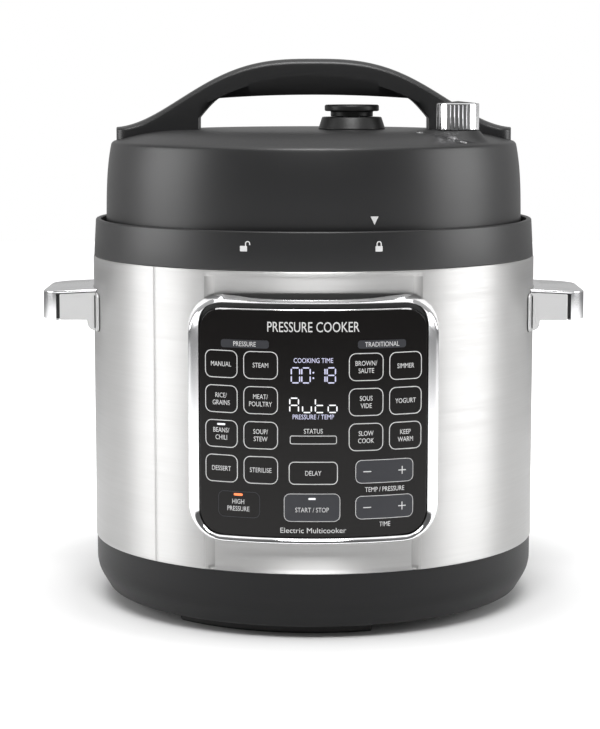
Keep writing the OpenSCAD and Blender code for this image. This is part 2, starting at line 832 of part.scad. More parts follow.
module lid_cover() color(charcoal) {
    steps = 14;
    outer_side = [for (i = [0 : steps]) let (z = skirt_top + (shoulder_z - skirt_top) * i / steps)
        [side_r(z), z]];
    outer_crown = [for (i = [1 : steps]) let (r = shoulder_r + (crown_r - shoulder_r) * i / steps)
        [r, crown_z(r)]];
    inner_side = [for (i = [0 : steps - 1])
        let (z = skirt_top + (shoulder_z - lid_t - skirt_top) * i / steps) [side_r(z) - lid_t, z]];
    inner_crown = [for (i = [2 : steps]) let (r = shoulder_r + (crown_r - shoulder_r) * i / steps)
        [r, crown_z(r) - lid_t]];
    difference() {
        union() {
            rotate_extrude() difference() {
                polygon(concat([[0, lid_bottom], [lid_r - 0.6, lid_bottom], [lid_r, lid_bottom + 0.6]],
                    outer_side, outer_crown, [[0, lid_top]]));
                polygon(concat([[0, lid_bottom - 1], [lid_r - lid_t, lid_bottom - 1]],
                    inner_side, inner_crown, [[0, lid_top - lid_t]]));
            }
            boss_places() ring(5, 1.9, dish_z, lid_top - lid_t + 0.5);
        }
        translate([valve_at[0], valve_at[1], lid_top - 5]) cylinder(r = 10, h = 10);
        translate([dial_at[0], dial_at[1], lid_top - 10]) cylinder(r = 5.2, h = 20);
        translate([float_at[0], float_at[1], lid_top - 10]) cylinder(r = 3.7, h = 20);
        for (p = arch_screws) translate([p[0], p[1], lid_top - 10]) cylinder(r = 2.1, h = 20);
    }
}

// Height of the top of the arch at distance u from the middle
function arch_z(u) =
    let (c = cos(90 * pow(abs(u) / arch_curve_end, 1.43)))
    arch_foot_z + (arch_top - arch_foot_z) * c * c;

// Height of the arch's underside: a flat bow over the grip, then down to the lid
function under_z(u) =
    let (a = abs(u))
    a < grip_half ? grip_z - 2.1 * pow(a / grip_half, 2)
    : a < leg_in ? 308.4 - 12.2 * pow((a - grip_half) / (leg_in - grip_half), 1.25)
    : 0;

function arch_ring(u) =
    let (
        a = abs(u),
        end_r = 6,
        past = max(0, a - (arch_end - end_r)),
        w = arch_half - end_r + sqrt(max(0.01, end_r * end_r - past * past)),
        top = arch_z(u),
        fillet = min(3.5, (top - 283) * 0.3),
        leg = a > leg_in,
        low = under_z(u),
        undercut = leg ? 0 : 5.5 * (1 - pow(a / leg_in, 4)),
        waist = leg ? crown_z(a) + 0.5 : max(low + 0.2, 322 - 14 * pow(a / 60, 2)),
        bend = pow(a / arch_end, 4),
        belly = 0.15,
        ys = leg ? [w, w / 2, 0, -w / 2, -w]
            : [w - undercut, (w - undercut) / 2, 0, -(w - undercut) / 2, -(w - undercut)],
        upper = concat(
            [[-w - belly, min(waist, top - fillet - 0.4)]],
            [for (k = [0 : 5]) [-w + fillet * (1 - cos(18 * k)), top - fillet * (1 - sin(18 * k))]],
            [[0, top + 0.6]],
            [for (k = [5 : -1 : 0]) [w - fillet * (1 - cos(18 * k)), top - fillet * (1 - sin(18 * k))]],
            [[w + belly, min(waist, top - fillet - 0.4)]]
        )
    )
    concat(
        [for (p = upper) arch_point(u, p[0], p[1], bend)],
        [for (y = ys) leg ? arch_foot(u, y, bend) : [u, y, low]]
    );

// The ends of the arch follow the lid's round rim
function arch_x(u, y, bend) = sign(u) * sqrt(u * u - y * y * bend);
function arch_point(u, y, z, bend) = [arch_x(u, y, bend), y, z];
function arch_foot(u, y, bend) =
    let (x = arch_x(u, y, bend)) [x, y, crown_z(min(norm([x, y]), shoulder_r)) + 0.12];

arch_half_stations = concat(
    [for (i = [0 : 14]) i * grip_half / 14],
    [60.5, 63, 65.5, 68, leg_in - 0.1, leg_in + 0.1],
    [for (i = [1 : 14]) leg_in + i * (arch_end - 6 - leg_in) / 14],
    [116.5, 118, 119.2, 120.2, 120.8, arch_end]
);

module lid_handle() color(charcoal) {
    n = len(arch_half_stations);
    stations = concat(
        [for (i = [n - 1 : -1 : 1]) -arch_half_stations[i]],
        arch_half_stations
    );
    skin([for (u = stations) arch_ring(u)]);
}

module lid_handle_screws() color(steel) {
    for (p = arch_screws) translate([p[0], p[1], crown_z(norm(p)) - lid_t - 0.4]) screw(3.6, 2, 1.9, 11);
}

// Steel dish that closes the pot, with the bayonet lugs on its rim
module inner_lid() color(steel) {
    difference() {
        union() {
            rotate_extrude() polygon(concat(
                [[0, dish_z - dish_t], [94, dish_z - dish_t]],
                arc([94, dish_z - dish_t - 8], 8, 90, 10, 6),
                [[104.5, flange_z - dish_t], [116.4, flange_z - dish_t], [116.4, 212], [117.6, 212]],
                [[117.6, flange_z], [105.4, flange_z]],
                arc([94, dish_z - dish_t - 8], 8 + dish_t, 10, 90, 6),
                [[0, dish_z]]
            ));
            lugs(117.2, lid_lug_r, 213, 215.6, lug_half - 0.5);
        }
        translate([valve_at[0], valve_at[1], dish_z - 5]) cylinder(r = 6.05, h = 10);
        translate([float_at[0], float_at[1], dish_z - 5]) cylinder(r = 6.05, h = 10);
        boss_places() translate([0, 0, dish_z - 5]) cylinder(r = 2.2, h = 10);
        translate([post_at[0], post_at[1], dish_z - 5]) cylinder(r = 2.05, h = 10);
    }
}

module inner_lid_screws() color(steel) {
    boss_places() translate([0, 0, dish_z - dish_t]) screw(4, 2, 1.85, 18);
}

module seal_rack() color(steel) {
    z = flange_z - dish_t - gap - 3.6;
    rotate_extrude() translate([110.3, z]) circle(r = 1);
    for (a = lug_turns) rotate(a) {
        translate([105.7, 0, z]) rotate([0, 90, 0]) cylinder(r = 0.9, h = 4.4);
        translate([105.7, 0, z]) cylinder(r = 0.9, h = flange_z - dish_t - z);
        translate([105.7, 0, z]) sphere(r = 0.9);
    }
}

// ---------------------------------------------------------------- steam valve

module at_valve() translate([valve_at[0], valve_at[1], 0]) children();
module at_dial() translate([dial_at[0], dial_at[1], 0]) children();
module at_float() translate([float_at[0], float_at[1], 0]) children();
module at_post() translate([post_at[0], post_at[1], 0]) children();

module valve_seat() color(black) {
    at_valve() rotate_extrude() polygon([
        [10.6, lid_top], [20.8, lid_top], [20.2, lid_top + 1.2], [18.4, 296.2], [17.8, 297], [10.6, 297]
    ]);
}

module steam_pipe() color(cast) {
    at_valve() rotate_extrude() polygon([
        [2.5, 231.5], [5.9, 231.5], [6, dish_z], [9, dish_z], [9, dish_z + 3], [6, dish_z + 3],
        [6, 284], [3, 288], [1.2, 288], [1.2, 284], [2.5, 282]
    ]);
}

module pipe_nut() color(steel) {
    at_valve() translate([0, 0, 232]) difference() {
        cylinder(r = 9, h = dish_z - dish_t - 232, $fn = 6);
        translate([0, 0, -1]) cylinder(r = 6.02, h = 8);
    }
}

module steam_filter() color(steel) {
    z0 = 224;
    at_valve() difference() {
        translate([0, 0, z0]) cylinder(r = 15, h = dish_z - dish_t - z0);
        translate([0, 0, z0 + 0.8]) cylinder(r = 14.2, h = 20);
        for (a = [0 : 45 : 315]) rotate(a) translate([10, -1.5, z0 + 3]) cube([8, 3, 6]);
        for (a = [0 : 60 : 300]) at_angle(a, 7) translate([0, 0, z0 - 1]) cylinder(r = 1.5, h = 3);
    }
}

module valve_weight() color(cast) {
    at_valve() {
        rotate_extrude() polygon([
            [6.4, flange_low], [12, flange_low], [12, flange_low + 2], [9.2, flange_low + 3],
            [9.2, 296], [5, 296], [5, 301], [0, 301], [0, 288.6], [3.4, 288.6], [6.4, 284.6]
        ]);
        for (side = [-1, 1]) rotate(lever_heading) translate([side * peg_at, 0, flange_low - 4])
            cylinder(r = 1.2, h = 4.5);
    }
}

module valve_cap() color(black) {
    at_valve() difference() {
        rotate_extrude() polygon([
            [0, 297.3], [13, 297.3], [13, 300.5], [16.2, 300.5], [16.7, 301],
            [16.7, 303.7], [16, 304.4], [0, 304.4]
        ]);
        translate([0, 0, 290]) cylinder(r = 5.02, h = 11.02);
        translate([0, 0, 303.6]) cylinder(r = 12, h = 2);
    }
}

// ---------------------------------------------------------------- steam dial and lever

module dial_base() color(charcoal) {
    at_dial() difference() {
        union() {
            intersection() {
                difference() {
                    rotate_extrude() polygon([
                        [0, 276], [19.4, 276], [19.4, 284.6], [17.4, 286], [15.4, 287.8],
                        [14, 289.3], [13.6, 290], [0, 290]
                    ]);
                    translate([-dial_at[0], -dial_at[1], 0]) lid_solid();
                }
                translate([-dial_at[0], -dial_at[1], 0]) cylinder(r = shoulder_r + 0.2, h = 320);
            }
            translate([0, 0, lid_top - 8]) cylinder(r = 5.1, h = 7);
        }
        translate([0, 0, 250]) cylinder(r = 4.5 + clear_fit, h = 60);
    }
}

// Everything below the lid's outer surface
module lid_solid() {
    steps = 14;
    rotate_extrude() polygon(concat(
        [[0, 200], [shoulder_r + 4, 200], [shoulder_r + 4, shoulder_z - 8], [shoulder_r, shoulder_z]],
        [for (i = [1 : steps]) let (r = shoulder_r + (crown_r - shoulder_r) * i / steps) [r, crown_z(r)]],
        [[0, lid_top]]
    ));
}

module dial_core() color(black) {
    at_dial() {
        difference() {
            union() {
                translate([0, 0, 257.2]) cylinder(r = 11, h = 2);
                translate([0, 0, 257.2]) cylinder(r = 4.5, h = 35);
                translate([0, 0, 290.3]) cylinder(r = dial_r - 1.5, h = 13);
            }
            translate([0, 0, 302.4]) cylinder(r = dial_r - 4, h = 2);
        }
        rotate(lever_heading + 180 - half_turn) translate([crank_r, 0, 254]) cylinder(r = 1.5, h = 3.5);
    }
}

module dial_ring() color(chrome) {
    at_dial() difference() {
        rotate_extrude() polygon([
            [dial_r - 1.48, 290.4], [dial_r, 290.4], [dial_r, 304.8], [dial_r - 0.5, 305.8],
            [dial_r - 1, 306], [dial_r - 1.48, 305.6]
        ]);
        for (i = [0 : dial_flutes - 1]) at_angle(i * 360 / dial_flutes, dial_r + 0.25)
            translate([0, 0, 290]) cylinder(r = 0.8, h = 14.6);
    }
}

// Flat lever: a slotted plate with two ramps under the valve, and a fork round the dial's crank
module valve_lever() color(satin) {
    at_post() rotate(lever_heading + lever_half_swing) difference() {
        union() {
            translate([0, 0, lever_z0]) linear_extrude(height = lever_z1 - lever_z0) {
                translate([-valve_arm, 0]) difference() {
                    translate([-14, -15]) square([28, 30]);
                    translate([-6.8, -ramp_shift]) square([13.6, 2 * ramp_shift]);
                    for (y = [-ramp_shift, ramp_shift]) translate([0, y]) circle(r = 6.8);
                }
                translate([-valve_arm + 13, -5]) square([valve_arm - 13, 10]);
                circle(r = 7);
                translate([0, -4.5]) square([35, 9]);
            }
            // Ramps that rise by the valve's lift over the lever's swing
            for (x = [-peg_at, peg_at]) translate([-valve_arm + x + 1.6, 0, 0]) rotate([90, 0, -90])
                linear_extrude(height = 3.2) ramp_side();
        }
        translate([0, 0, lever_z0 - 1]) cylinder(r = 3 + clear_fit, h = 6);
        translate([29, -1.85, lever_z0 - 1]) cube([12, 3.7, 6]);
    }
}

module ramp_side() {
    run = ramp_shift + 2;
    slope = valve_rise / (2 * ramp_shift);
    mid = ramp_low + valve_rise / 2;
    polygon([
        [-run, lever_z1 - 0.5], [run, lever_z1 - 0.5], [run, mid + slope * run], [-run, mid - slope * run]
    ]);
}

module lever_post() color(steel) {
    at_post() {
        translate([0, 0, dish_z - dish_t - 1]) cylinder(r = 2, h = 4);
        translate([0, 0, dish_z]) cylinder(r = 6, h = lever_z0 - gap - dish_z);
        translate([0, 0, dish_z]) cylinder(r = 3, h = 259 - dish_z);
    }
}

module lever_clip() color(steel) {
    at_post() ring(5, 3.02, lever_z1 + gap, lever_z1 + 1.3);
}

// ---------------------------------------------------------------- float valve

module float_guide() color(satin) {
    at_float() difference() {
        union() {
            translate([0, 0, 233]) cylinder(r = 6, h = 13);
            translate([0, 0, dish_z]) cylinder(r = 8.5, h = 2);
        }
        translate([0, 0, 230]) cylinder(r = 3 + clear_fit, h = 20);
    }
}

module float_pin() color(red) {
    at_float() rotate_extrude() polygon([
        [0, 226], [5.2, 226], [5.2, 227.5], [3, 227.5], [3, 246.3], [4.6, 246.3], [4.6, 247.8],
        [3, 247.8], [3, 288.6], [2.4, 289.4], [0, 289.4]
    ]);
}

module float_seal() color(silicone) {
    at_float() rotate_extrude() polygon([[3, 227.5], [5, 227.5], [5, 228.6], [4.6, 228.9], [3, 228.9]]);
}

// ---------------------------------------------------------------- the nodes

base_shell();
foot_pads();
base_screws();
liner_posts();
steel_sleeve();
top_collar();
locking_ring();
outer_pot();
heating_plate();
heating_element();
sensor_bracket();
sensor_spring();
temperature_sensor();
power_board();
thermal_cutout();
pressure_switch();
wiring_harness();
control_board();
board_screws();
display_module();
panel_carrier();
panel_bezel();
panel_glass();
left_handle_bracket();
right_handle_bracket();
left_handle_grip();
right_handle_grip();
side_handle_screws();
power_inlet();
inlet_pins();
collector_bracket();
condensation_collector();
inner_pot();
sealing_ring();
lid_cover();
lid_handle();
lid_handle_screws();
inner_lid();
inner_lid_screws();
seal_rack();
valve_seat();
steam_pipe();
pipe_nut();
steam_filter();
valve_weight();
valve_cap();
dial_base();
dial_core();
dial_ring();
valve_lever();
lever_post();
lever_clip();
float_guide();
float_pin();
float_seal();
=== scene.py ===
"""Looks for the electric pressure cooker: fine shells, trim, panel print and finishes on its frame.

Shapes are worked out in millimetres in the row frame, and add_piece turns them into metres.
"""

import json
import math

import bmesh
import bpy
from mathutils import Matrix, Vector


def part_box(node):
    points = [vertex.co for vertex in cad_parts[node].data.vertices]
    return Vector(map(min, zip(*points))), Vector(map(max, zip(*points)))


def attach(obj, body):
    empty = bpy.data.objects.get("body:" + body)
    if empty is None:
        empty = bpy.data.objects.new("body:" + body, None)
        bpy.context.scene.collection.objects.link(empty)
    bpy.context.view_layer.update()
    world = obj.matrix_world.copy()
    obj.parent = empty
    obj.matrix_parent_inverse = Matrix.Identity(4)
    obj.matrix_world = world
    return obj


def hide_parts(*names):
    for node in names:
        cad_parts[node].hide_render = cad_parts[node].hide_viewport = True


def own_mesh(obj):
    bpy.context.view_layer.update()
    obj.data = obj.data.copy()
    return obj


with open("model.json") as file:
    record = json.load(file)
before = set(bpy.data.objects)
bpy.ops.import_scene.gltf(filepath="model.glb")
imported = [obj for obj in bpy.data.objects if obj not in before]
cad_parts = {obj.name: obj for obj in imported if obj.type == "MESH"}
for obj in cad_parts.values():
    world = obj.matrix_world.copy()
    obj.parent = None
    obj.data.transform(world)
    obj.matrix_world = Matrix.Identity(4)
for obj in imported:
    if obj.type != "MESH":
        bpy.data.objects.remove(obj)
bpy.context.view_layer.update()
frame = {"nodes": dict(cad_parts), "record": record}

MM = 0.001


def cad_limits(node):
    """Lowest and highest corner of a CAD node, in millimetres."""
    low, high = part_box(node)
    return low / MM, high / MM


def cad_round(node):
    """Centre in plan, radius, lowest and highest height of a round CAD node."""
    low, high = cad_limits(node)
    return ((low.x + high.x) / 2, (low.y + high.y) / 2), (high.x - low.x) / 2, low.z, high.z


# ------------------------ finishes


def link(tree, source, target):
    tree.links.new(source, target)


def noise(tree, coords, scale, stretch=(1, 1, 1)):
    """A noise value over the object's own coordinates, stretched along its axes."""
    mapping = tree.nodes.new("ShaderNodeMapping")
    mapping.inputs["Scale"].default_value = stretch
    texture = tree.nodes.new("ShaderNodeTexNoise")
    texture.inputs["Scale"].default_value = scale
    link(tree, coords.outputs["Object"], mapping.inputs["Vector"])
    link(tree, mapping.outputs["Vector"], texture.inputs["Vector"])
    return texture.outputs["Fac"]


def remap(tree, value, from_min, from_max, to_min=0.0, to_max=1.0):
    """Maps one range of a value to another, held at both ends."""
    node = tree.nodes.new("ShaderNodeMapRange")
    limits = {"From Min": from_min, "From Max": from_max, "To Min": to_min, "To Max": to_max}
    for socket, limit in limits.items():
        node.inputs[socket].default_value = limit
    link(tree, value, node.inputs["Value"])
    return node.outputs["Result"]


def brush_round(tree, shader, amount):
    """Brush marks that run round the upright axis, so highlights are drawn out up and down."""
    tangent = tree.nodes.new("ShaderNodeTangent")
    tangent.direction_type = "RADIAL"
    tangent.axis = "Z"
    link(tree, tangent.outputs["Tangent"], shader.inputs["Tangent"])
    shader.inputs["Anisotropic"].default_value = amount
    shader.inputs["Anisotropic Rotation"].default_value = 0.25


MOTTLE_SCALE = 35
NOISE_LOW, NOISE_HIGH = 0.3, 0.7
GRAIN_DEPTH = 0.1 * MM


def finish(
    name,
    colour,
    rough,
    metallic=0.0,
    mottle=0.08,
    rough_spread=0.04,
    grain=0.0,
    grain_scale=2200,
    stretch=(1, 1, 1),
    brushed=0.0,
    glow=None,
    **sockets,
):
    """A material whose colour and roughness vary a little, with a fine grain in its surface."""
    material = bpy.data.materials.new(name)
    material.use_nodes = True
    tree = material.node_tree
    shader = tree.nodes["Principled BSDF"]
    shader.inputs["Metallic"].default_value = metallic
    for socket, value in sockets.items():
        shader.inputs[socket.replace("_", " ")].default_value = value
    coords = tree.nodes.new("ShaderNodeTexCoord")
    mix = tree.nodes.new("ShaderNodeMix")
    mix.data_type = "RGBA"
    mix.inputs["A"].default_value = (*[c * (1 - mottle) for c in colour], 1)
    mix.inputs["B"].default_value = (*[min(1, c * (1 + mottle)) for c in colour], 1)
    link(tree, noise(tree, coords, MOTTLE_SCALE), mix.inputs["Factor"])
    link(tree, mix.outputs["Result"], shader.inputs["Base Color"])
    fine = noise(tree, coords, grain_scale, stretch)
    varied = remap(tree, fine, NOISE_LOW, NOISE_HIGH, rough - rough_spread, rough + rough_spread)
    link(tree, varied, shader.inputs["Roughness"])
    if grain:
        bump = tree.nodes.new("ShaderNodeBump")
        bump.inputs["Strength"].default_value = grain
        bump.inputs["Distance"].default_value = GRAIN_DEPTH
        link(tree, fine, bump.inputs["Height"])
        link(tree, bump.outputs["Normal"], shader.inputs["Normal"])
    if brushed:
        brush_round(tree, shader, brushed)
    if glow:
        shader.inputs["Emission Color"].default_value = (*glow[0], 1)
        shader.inputs["Emission Strength"].default_value = glow[1]
    return material


BRUSHED = dict(grain=0.03, stretch=(0.02, 0.02, 1))
SLOT_LOOKS = {
    "charcoal_plastic": dict(colour=(0.008, 0.008, 0.0085), rough=0.4, grain=0.1, Specular_IOR_Level=0.6),
    "black_plastic": dict(colour=(0.012, 0.012, 0.012), rough=0.42, grain=0.1),
    "foot_rubber": dict(colour=(0.035, 0.035, 0.035), rough=0.7, grain=0.2),
    "brushed_steel": dict(
        colour=(0.57, 0.567, 0.562), rough=0.5, metallic=0.95, mottle=0.015,
        grain_scale=900, brushed=0.9, **BRUSHED,
    ),
    "bright_steel": dict(
        colour=(0.62, 0.615, 0.61), rough=0.36, metallic=1.0, mottle=0.02,
        grain_scale=1600, brushed=0.7, **BRUSHED,
    ),
    "screw_steel": dict(colour=(0.55, 0.55, 0.56), rough=0.35, metallic=1.0, grain=0.1),
    "chrome_trim": dict(
        colour=(0.84, 0.84, 0.85), rough=0.07, metallic=1.0, mottle=0.01, rough_spread=0.02
    ),
    "satin_silver": dict(colour=(0.6, 0.6, 0.6), rough=0.45, metallic=0.3, mottle=0.02, grain=0.08),
    "cast_aluminium": dict(
        colour=(0.56, 0.56, 0.57), rough=0.42, metallic=1.0, grain=0.3, grain_scale=900
    ),
    "heater_sheath": dict(colour=(0.14, 0.13, 0.12), rough=0.55, metallic=0.7, mottle=0.3, grain=0.2),
    "circuit_board": dict(colour=(0.02, 0.13, 0.06), rough=0.4, mottle=0.25, grain=0.1),
    "display": dict(colour=(0.012, 0.012, 0.016), rough=0.12),
    "panel_glass": dict(
        colour=(0.0075, 0.0068, 0.0065), rough=0.07, rough_spread=0.02, Specular_IOR_Level=0.16
    ),
    "white_silicone": dict(colour=(0.74, 0.75, 0.73), rough=0.5, mottle=0.03, Subsurface_Weight=0.2),
    "pale_plastic": dict(colour=(0.7, 0.69, 0.64), rough=0.45, grain=0.08),
    "cable_jacket": dict(colour=(0.3, 0.3, 0.31), rough=0.5, mottle=0.1),
    "smoky_plastic": dict(colour=(0.03, 0.03, 0.032), rough=0.2, mottle=0.1),
}
FINISHES = {slot: finish(slot, **look) for slot, look in SLOT_LOOKS.items()}

INK_PALE = finish("ink_pale", (0.62, 0.62, 0.62), 0.55, mottle=0.03)
INK_SLATE = finish("ink_slate", (0.03, 0.031, 0.036), 0.35, mottle=0.04, Specular_IOR_Level=0.3)
# A bright, near-metal finish for the glass's top chamfer: a painted highlight.
GLASS_EDGE_GLINT = finish("glass_edge_glint", (0.8, 0.8, 0.8), 0.15, 0.8, mottle=0.04)
# Darker steel for the recess's slopes: painted shade where the recess's sides sit in shadow.
RECESS_SHADE_STEEL = finish("recess_shade_steel", (0.38, 0.377, 0.373), 0.4, 1.0, mottle=0.02, grain=0.05)
PIN_STEEL = finish("pin_steel", (0.16, 0.16, 0.16), 0.4, 1.0, mottle=0.05)
BASE_PLASTIC = finish("base_plastic", (0.0085, 0.0085, 0.009), 0.48, grain=0.12, Specular_IOR_Level=0.26)
GLOW_BLUE = finish("glow_blue", (0.3, 0.3, 0.36), 0.4, glow=((0.66, 0.66, 0.95), 0.6))
GLOW_WHITE = finish("glow_white", (0.4, 0.4, 0.4), 0.4, glow=((0.95, 0.95, 1.0), 0.75))
GLOW_ORANGE = finish("glow_orange", (0.4, 0.1, 0.05), 0.4, glow=((1.0, 0.22, 0.06), 1.3))
SATIN_CHROME = finish("satin_chrome", (0.78, 0.78, 0.79), 0.17, 1.0, mottle=0.01, rough_spread=0.03)


SOFT_EDGED = ("condensation_collector", "collector_bracket", "power_inlet", "foot_pads")
SOFT_EDGE = 0.5 * MM


def finish_cad_nodes():
    """Every CAD node gets its slot's finish, the base shell and the float pin a finish of their own, and
    four small nodes with no finer piece get soft edges.
    """
    for row in frame["record"]["subparts"]:
        slots = frame["nodes"][row["node"]].data.materials
        slots.clear()
        slots.append(FINISHES[row["material_slot"]])
    frame["nodes"]["base_shell"].data.materials[0] = BASE_PLASTIC
    frame["nodes"]["float_pin"].data.materials[0] = PIN_STEEL
    for name in SOFT_EDGED:
        edges = frame["nodes"][name].modifiers.new("soft_edges", "BEVEL")
        edges.width = SOFT_EDGE
        edges.segments = 3
        edges.angle_limit = math.radians(40)
        edges.harden_normals = True


# ------------------------ mesh tools


def add_piece(name, points, faces, body, slot, hides=(), sharp=38, material=None):
    """A mesh from points in millimetres, smooth except at edges sharper than the given angle."""
    mesh = bpy.data.meshes.new(name)
    mesh.from_pydata([[c * MM for c in p] for p in points], [], faces)
    shell = bmesh.new()
    shell.from_mesh(mesh)
    bmesh.ops.remove_doubles(shell, verts=shell.verts, dist=1e-6)
    bmesh.ops.recalc_face_normals(shell, faces=shell.faces)
    shell.to_mesh(mesh)
    shell.free()
    mesh.shade_smooth()
    mesh.set_sharp_from_angle(angle=math.radians(sharp))
    mesh.materials.append(material or FINISHES[slot])
    piece = bpy.data.objects.new(name, mesh)
    bpy.context.scene.collection.objects.link(piece)
    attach(piece, body)
    if hides:
        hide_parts(*hides)
    return piece


def spaced(first, last, count):
    """Evenly spaced values from first to last, with both ends."""
    return [first + (last - first) * k / count for k in range(count + 1)]


def fillet(corners, steps=5):
    """A closed outline from corners (x, y, radius), each rounded with an arc."""
    outline = []
    for i, (x, y, radius) in enumerate(corners):
        here = Vector((x, y))
        if not radius:
            outline.append((x, y))
            continue
        back = (Vector(corners[i - 1][:2]) - here).normalized()
        ahead = (Vector(corners[(i + 1) % len(corners)][:2]) - here).normalized()
        half = back.angle(ahead) / 2
        centre = here + (back + ahead).normalized() * (radius / math.sin(half))
        first = here + back * (radius / math.tan(half)) - centre
        last = here + ahead * (radius / math.tan(half)) - centre
        start = math.atan2(first.y, first.x)
        turn = (math.atan2(last.y, last.x) - start + math.pi) % math.tau - math.pi
        for k in range(steps + 1):
            a = start + turn * k / steps
            outline.append((centre.x + radius * math.cos(a), centre.y + radius * math.sin(a)))
    return outline


def rings_to_mesh(rings, loop=False):
    """Faces between rings of equal length. The ends are closed, or joined to each other if loop is true."""
    size = len(rings[0])
    points = [p for ring in rings for p in ring]
    faces = []
    count = len(rings)
    for i in range(count if loop else count - 1):
        a, b = i * size, (i + 1) % count * size
        faces += [(a + j, a + (j + 1) % size, b + (j + 1) % size, b + j) for j in range(size)]
    if not loop:
        faces += [tuple(range(size)), tuple(range((count - 1) * size, count * size))]
    return points, faces


def stand(outline, centre, a):
    """An outline of (radius, height) stood at an angle round an upright axis."""
    return [(centre[0] + r * math.cos(a), centre[1] + r * math.sin(a), z) for r, z in outline]


def lathe(outline, centre=(0, 0), segments=192):
    """A closed outline turned round an upright axis."""
    rings = [stand(outline, centre, math.tau * i / segments) for i in range(segments)]
    return rings_to_mesh(rings, loop=True)


def rounded_rect(half, z0, z1, corner, steps=10):
    """Points (x, z) round a rectangle with rounded corners, always the same number and order."""
    return fillet([(-half, z0, corner), (half, z0, corner), (half, z1, corner), (-half, z1, corner)], steps)


def join(*meshes):
    """Several (points, faces) as one."""
    points, faces = [], []
    for more_points, more_faces in meshes:
        shift = len(points)
        points += more_points
        faces += [tuple(i + shift for i in face) for face in more_faces]
    return points, faces


# ------------------------ lid

LID_LOW, LID_HIGH = cad_limits("lid_cover")
LID_R = LID_HIGH.x
LID_TOP = LID_HIGH.z
SKIRT_TOP = 236
SHOULDER_Z = 282
SHOULDER_R = 124
CROWN_R = 73
LID_WALL = 3
LID_SOFT = 1.6
LID_INNER_R = 116
LID_INNER_HEIGHTS = (278, 270, 260, 250, 242, SKIRT_TOP)
BOSS_AT, BOSS_R, BOSS_HOLE = 60, 5, 1.9


def crown_z(r):
    """Height of the lid's outer surface at radius r."""
    if r < CROWN_R:
        return LID_TOP
    return LID_TOP - (LID_TOP - SHOULDER_Z) * ((r - CROWN_R) / (SHOULDER_R - CROWN_R)) ** 2.4


def side_r(z):
    """Radius of the lid's outer side at height z."""
    t = max(0, (z - SKIRT_TOP) / (SHOULDER_Z - SKIRT_TOP))
    return LID_R - 0.6 * t - (LID_R - SHOULDER_R - 0.6) * t**3.2


def curve_between(start, pull, end, steps):
    """The points inside a curve from start to end that bends towards pull."""
    points = []
    for t in spaced(0, 1, steps)[1:-1]:
        weighted = ((start, (1 - t) ** 2), (pull, 2 * t * (1 - t)), (end, t * t))
        points.append(tuple(sum(p[i] * weight for p, weight in weighted) for i in (0, 1)))
    return points


def screw_boss(turn):
    """A post inside the lid that a screw of the inner lid goes into."""
    a = math.radians(turn)
    low, high = cad_limits("inner_lid")[1].z, LID_TOP - LID_WALL + 0.3
    outline = fillet([(BOSS_HOLE, low, 0), (BOSS_R, low, 0.4), (BOSS_R, high, 0), (BOSS_HOLE, high, 0)])
    return lathe(outline, (BOSS_AT * math.cos(a), BOSS_AT * math.sin(a)), 32)


def lid_shell():
    """The lid's outer shell, with a soft shoulder and the screw posts inside."""
    steps = 36
    z_end = SHOULDER_Z - LID_SOFT
    r_start = SHOULDER_R - LID_SOFT
    rim = [(LID_R - LID_WALL, LID_LOW.z, 0.5), (LID_R, LID_LOW.z, 0.7), (LID_R, SKIRT_TOP, 0)]
    outer = fillet(rim)[:-1]
    outer += [(side_r(z), z) for z in spaced(SKIRT_TOP, z_end, steps)]
    pull = (SHOULDER_R - 0.1, SHOULDER_Z - 0.1)
    outer += curve_between(outer[-1], pull, (r_start, crown_z(r_start)), 6)
    outer += [(r, crown_z(r)) for r in spaced(r_start, CROWN_R - 2, steps)]
    outer.append((0, LID_TOP))
    inner = [(0, LID_TOP - LID_WALL)]
    inner += [(r, crown_z(r) - LID_WALL) for r in spaced(CROWN_R, LID_INNER_R, 12)]
    inner += [(side_r(z) - LID_WALL, z) for z in LID_INNER_HEIGHTS]
    shell = lathe(outer + inner, segments=256)
    bosses = [screw_boss(turn) for turn in (30, 150, 270)]
    add_piece("lid_shell", *join(shell, *bosses), "lid", "charcoal_plastic", ["lid_cover"])


ARCH_HIGH = cad_limits("lid_handle")[1]
ARCH_END = ARCH_HIGH.x
ARCH_HALF = ARCH_HIGH.y
ARCH_CORNER = 6
ARCH_CROWN = 0.6
ARCH_FOOT_Z = 290
GRIP_HALF = 58
GRIP_LOW = 310.5
GRIP_BOW = 2.1
GRIP_EDGE = 0.8
GRIP_INSET = 5.5
LEG_IN = 70.4
LEG_DROP = 12.2
WAIST_HIGH, WAIST_FALL, WAIST_REACH = 322, 14, 60
ARCH_SOFT, SOFT_SHARE, SOFT_FROM = 3.2, 0.28, 283


def arch_top(a):
    """Height of the arch's top at distance a from the middle."""
    c = math.cos(math.radians(90 * (a / (ARCH_END + 3)) ** 1.43))
    return ARCH_FOOT_Z + (ARCH_HIGH.z - ARCH_CROWN - ARCH_FOOT_Z) * c * c


def arch_under(a):
    """Height of the grip's underside at distance a from the middle."""
    if a < GRIP_HALF:
        return GRIP_LOW - GRIP_BOW * (a / GRIP_HALF) ** 2
    return GRIP_LOW - GRIP_BOW - LEG_DROP * ((a - GRIP_HALF) / (LEG_IN - GRIP_HALF)) ** 1.25


